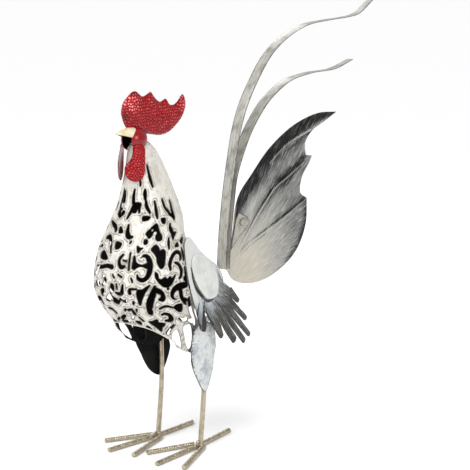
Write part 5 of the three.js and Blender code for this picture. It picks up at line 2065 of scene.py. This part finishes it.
@dataclass
class Tail:
    """Two bent ribbons, the veined tail sheet and the stay that ties them.

    Veins are pressed lines with a width each. The centres are what the sheet's fine rays
    spread from and what its brushing circles.
    """

    width: float = 14.0
    ribbon_plate: float = 1.0
    sheet_plate: float = 0.8
    stay_plate: float = 1.0
    gap: float = 0.3
    weld: tuple[float, float] = (124.0, 242.0)
    weld_half: tuple[float, float, float] = (1.8, 9.0, 4.8)
    ray_centre: tuple[float, float] = (70.0, 176.0)
    brush_centre: tuple[float, float] = (60.0, 150.0)
    long: tuple = (
        (82, 191), (84, 222), (91, 270), (100, 312), (112, 355), (125, 382), (145, 409),
        (172, 437), (205, 457), (250, 472), (305, 478), (348, 481), (374, 485), (409, 502),
    )
    short: tuple = (
        (88.5, 191), (91, 222), (98, 268), (104.4, 299), (117.5, 326), (136, 353), (164, 380),
        (185, 393), (216, 406), (262, 413), (319, 416), (361, 426),
    )
    edges: tuple = (
        ((90.4, 190), (102, 226), (113, 271), (144, 299), (178, 325), (229, 349), (285, 361),
         (330, 360)),
        ((330, 360), (297, 348), (273, 340), (257, 325), (259, 310)),
        ((259, 310), (273, 308)),
        ((273, 308), (266, 299), (250, 282), (247, 264), (262, 255)),
        ((262, 255), (260, 222), (239, 191), (192, 169), (144, 164), (105, 174), (90.4, 190)),
    )
    veins: tuple = (
        (((104, 196), (134, 212), (181, 227), (214, 238), (250, 251)), 5.0),
        (((108, 198), (136, 229), (162, 254), (191, 276), (219, 287), (253, 301)), 5.0),
        (((181, 308), (202, 321), (226, 331), (251, 337), (270, 341)), 4.0),
    )
    stay: tuple = (
        (97, 210), (116, 226), (131, 234), (137, 241), (131, 248), (114, 255), (108, 246),
    )

    def ribbon(self, name: str, knots: Points, node: str) -> None:
        """One flat ribbon bent along its centre line.

        Args:
            name: The piece's name.
            knots: Points of the centre line.
            node: The CAD node that it stands for.
        """
        path = smooth_path(knots, 14)
        ahead = np.gradient(path, axis=0)
        ahead /= np.linalg.norm(ahead, axis=1)[:, None]
        across = np.stack([-ahead[:, 1], ahead[:, 0]], -1)
        walked = np.concatenate([[0], np.cumsum(np.hypot(*np.diff(path, axis=0).T))])
        v = walked / walked[-1]
        columns = 9
        u = np.linspace(-1, 1, columns)
        taper = 1 - 0.3 * unit((v - 0.8) / 0.2)
        faces = []
        for way in (-1, 1):
            off = way * self.ribbon_plate / 2 * 0.96
            x = u[None, :] * (self.width / 2 * taper)[:, None]
            edge = (0.25 * way * np.abs(u) ** 8)[None, :]
            y = path[:, 0][:, None] + across[:, 0][:, None] * (off - edge)
            z = path[:, 1][:, None] + across[:, 1][:, None] * (off - edge)
            faces.append(np.stack([x, y, z], -1).reshape(-1, 3))
        tris = grid_triangles(len(path), columns)
        depth = ((1 - np.abs(u))[None, :] * (self.width / 2 * taper)[:, None]).ravel()
        flat = np.stack(np.meshgrid(u * self.width, walked), -1).reshape(-1, 2)
        Sheet(
            name, Blank(flat, tris, depth), faces[1], faces[0], RIBBON_PAINT, RIBBON_PAINT,
            grain=np.column_stack([flat, 0 * flat[:, 0]]),
        ).build("tail_steel", node)

    def sheet(self) -> None:
        """The tail sheet with its veins pressed proud of its left face."""
        loop = np.concatenate([smooth_path(rows, 6)[:-1] for rows in self.edges])
        blank = flat_cutting([loop], 1.0, 0.35).blank(1.9, 0.7)
        y, z = blank.points.T
        height = np.zeros(y.shape)
        for rows, width in self.veins:
            away, along = path_distance(y, z, smooth_path(rows, 8))
            swell = 0.25 + 0.75 * np.sin(math.pi * along)
            ridge = unit(1 - away / (0.5 * width * swell + 0.5))
            height = np.maximum(height, (0.2 + 1.6 * swell) * ridge)
        centre = self.ray_centre
        ray = np.arctan2(z - centre[1], y - centre[0])
        far = np.hypot(z - centre[1], y - centre[0])
        ribs = 0.14 * np.sin(ray * 46 + 0.02 * far) * unit(blank.depth / 6)
        soft = -0.15 * np.exp(-blank.depth / 0.8)
        half = self.sheet_plate / 2
        outer = np.stack([half + height + ribs + soft, y, z], -1)
        inner = np.stack([-half + 0.6 * ribs - soft, y, z], -1)
        centre = self.brush_centre
        turn = np.arctan2(z - centre[1], y - centre[0])
        far = np.hypot(z - centre[1], y - centre[0])
        Sheet(
            "tail_sheet_plate", blank, outer, inner, TAIL_PAINT, TAIL_PAINT,
            tone=self.tone(y, z, blank.depth),
            grain=np.stack([turn * 150, far, 0 * y], -1),
        ).build("tail_steel", "tail_sheet")

    def tone(self, y: Array, z: Array, depth: Array) -> Array:
        """How pale the tail sheet is painted, with painted highlights on its pressed veins and
        painted shade beside them.

        Args:
            y: First coordinates.
            z: Heights.
            depth: Their distance from the sheet's edge.

        Returns:
            One level for each place, from 0 to 1.
        """
        reach = np.hypot(y - 90, z - 176)
        level = 0.98 - 0.42 * unit((reach - 60) / 90)
        away, along = path_distance(y, z, smooth_path(self.edges[0], 6))
        band = 21 - 9 * along
        level -= np.exp(-((away / band) ** 2)) * unit((along - 0.06) / 0.22)
        level += 0.8 * np.exp(-((away / 1.4) ** 2)) * unit(0.85 - along)
        behind, back = path_distance(y, z, smooth_path(self.edges[1], 6))
        level += 0.7 * np.exp(-((behind / 8) ** 2)) * unit(1.1 - back)
        # Each pressed vein gets a painted highlight along its crest, a thin line of painted shade
        # beside it and broader painted shade on one side.
        for (rows, _), pale, dark, gap in zip(self.veins, (0.25, 0.45, 0.6), (0.12, 0.4, 0.3),
                                              (4, 5, -6)):
            path = smooth_path(rows, 8)
            away, along = path_distance(y, z, path)
            ahead = path[-1, :2] - path[0, :2]
            side = np.sign((z - path[0, 1]) * ahead[0] - (y - path[0, 0]) * ahead[1])
            level += pale * np.exp(-((away / 1.2) ** 2))
            beside = away * side - math.copysign(2.3, gap)
            level -= 0.7 * np.exp(-((beside / 1.1) ** 2)) * np.sqrt(along)
            level -= dark * np.exp(-(((away * side - gap) / 6) ** 2)) * along
        low_right = unit((y - 205) / 25) * unit((262 - z) / 20)
        level -= 0.45 * np.exp(-((depth / 7) ** 2)) * low_right
        return unit(level)

    def ties(self) -> None:
        """The stay plate and the long weld spot on it."""
        start = self.sheet_plate / 2 + self.gap
        blank = flat_cutting([np.array(self.stay, float)], 0.7, 0.6).blank(1.6, 0.6)
        y, z = blank.points.T
        proud = start + self.stay_plate
        outer = np.stack([proud - 0.3 * np.exp(-blank.depth / 0.7), y, z], -1)
        inner = np.stack([np.full(len(y), start), y, z], -1)
        plate = Sheet("tail_stay_plate", blank, outer, inner, TIE_PAINT, TIE_PAINT)
        plate.build("tail_steel", "tail_stay")
        columns, rows = 33, 9
        around, up = np.linspace(0, 2 * math.pi, columns), np.linspace(0, 1, rows)
        lons, lats = np.meshgrid(around, up)
        reach = np.sin(lats * math.pi / 2)
        seat = proud + self.gap
        high, long, wide = self.weld_half
        dome = np.stack([
            seat + high * np.cos(lats * math.pi / 2) ** 0.8,
            self.weld[0] + long * reach * np.cos(lons),
            self.weld[1] + wide * reach * np.sin(lons),
        ], -1).reshape(-1, 3)
        rim = unit(1.4 - (1 - reach).ravel() * 9)
        floor = dome.copy()
        floor[:, 0] = seat
        flat = np.stack([lons.ravel(), lats.ravel()], -1)
        blank = Blank(flat, grid_triangles(rows, columns), 5 * (1 - rim))
        weld = Sheet("tail_boss_weld", blank, dome, floor, TIE_PAINT, TIE_PAINT)
        weld.build("tail_steel", "tail_boss")

    def build(self) -> None:
        """Makes the whole tail."""
        self.ribbon("long_ribbon_strip", self.long, "long_ribbon")
        self.ribbon("short_ribbon_strip", self.short, "short_ribbon")
        self.sheet()
        self.ties()


@dataclass
class Studio:
    """Camera, floor and soft light. The eye and its aim are in drawn millimetres."""

    eye: tuple[float, float, float] = (1012.5, -1264.7, 518.8)
    aim: tuple[float, float, float] = (76.5, 4.8, 250.0)
    focal_pixels: float = 1454.5
    frame_pixels: int = 470
    floor_half: float = 80.0
    sun_power: float = 2.4
    sun_spread: float = 46.0
    sky_power: float = 0.46

    def build(self) -> None:
        """Sets the camera, the floor, the lights and the sky."""
        scene = bpy.context.scene
        eye = Vector(Bench.place(np.array([self.eye]))[0])
        aim = Vector(Bench.place(np.array([self.aim]))[0])
        camera = bpy.data.cameras.new("camera")
        camera.sensor_width = 36
        camera.lens = self.focal_pixels / self.frame_pixels * camera.sensor_width
        camera.clip_start, camera.clip_end = 0.05, 60
        holder = bpy.data.objects.new("camera", camera)
        holder.location = eye
        holder.rotation_euler = (aim - eye).to_track_quat("-Z", "Y").to_euler()
        scene.collection.objects.link(holder)
        scene.camera = holder
        wide = self.floor_half
        corners = [(-wide, -wide, 0), (wide, -wide, 0), (wide, wide, 0), (-wide, wide, 0)]
        floor = new_object("floor", np.array(corners), [(0, 1, 2, 3)])
        floor.data.materials.append(self.plain("pale floor", (253, 253, 253)))
        sun = bpy.data.lights.new("key", "SUN")
        sun.energy, sun.angle = self.sun_power, math.radians(self.sun_spread)
        holder = bpy.data.objects.new("key", sun)
        way = Vector((-0.1, 0.63, -0.77))
        holder.rotation_euler = way.to_track_quat("-Z", "Y").to_euler()
        scene.collection.objects.link(holder)
        self.lamp("side reflector", (1.7, -0.6, 1.1), 0.7, 12, aim)
        self.lamp("far reflector", (-1.5, 1.1, 1.3), 1.2, 10, aim)
        world = bpy.data.worlds.new("soft sky")
        world.use_nodes = True
        sky = world.node_tree.nodes["Background"]
        sky.inputs["Color"].default_value = (1, 1, 1, 1)
        sky.inputs["Strength"].default_value = self.sky_power
        scene.world = world
        scene.view_settings.view_transform = "Standard"

    @staticmethod
    def lamp(name: str, place: Sequence[float], size: float, power: float, aim: Vector) -> None:
        """One soft square light that faces the bird.

        Args:
            name: Its name.
            place: Where it stands, in metres.
            size: Its side.
            power: Its power in watts.
            aim: The point that it faces.
        """
        light = bpy.data.lights.new(name, "AREA")
        light.size = size
        light.energy = power
        holder = bpy.data.objects.new(name, light)
        holder.location = place
        holder.rotation_euler = (aim - Vector(place)).to_track_quat("-Z", "Y").to_euler()
        bpy.context.scene.collection.objects.link(holder)

    @staticmethod
    def plain(name: str, colour: Sequence[float]) -> Material:
        """A plain matt material.

        Args:
            name: Its name.
            colour: Its display colour.

        Returns:
            The material.
        """
        made = bpy.data.materials.new(name)
        made.use_nodes = True
        shader = made.node_tree.nodes["Principled BSDF"]
        shader.inputs["Base Color"].default_value = linear(colour)
        shader.inputs["Roughness"].default_value = 0.8
        return made


def main() -> None:
    """Builds the studio and the bird piece by piece."""
    logging.basicConfig(level=logging.INFO, format="%(message)s")
    Bench.set_up()
    Studio().build()
    Body().build()
    Head().build()
    for side in Side:
        Wing(side).build()
        Leg(side).build()
    Tail().build()


if __name__ == "__main__":
    main()
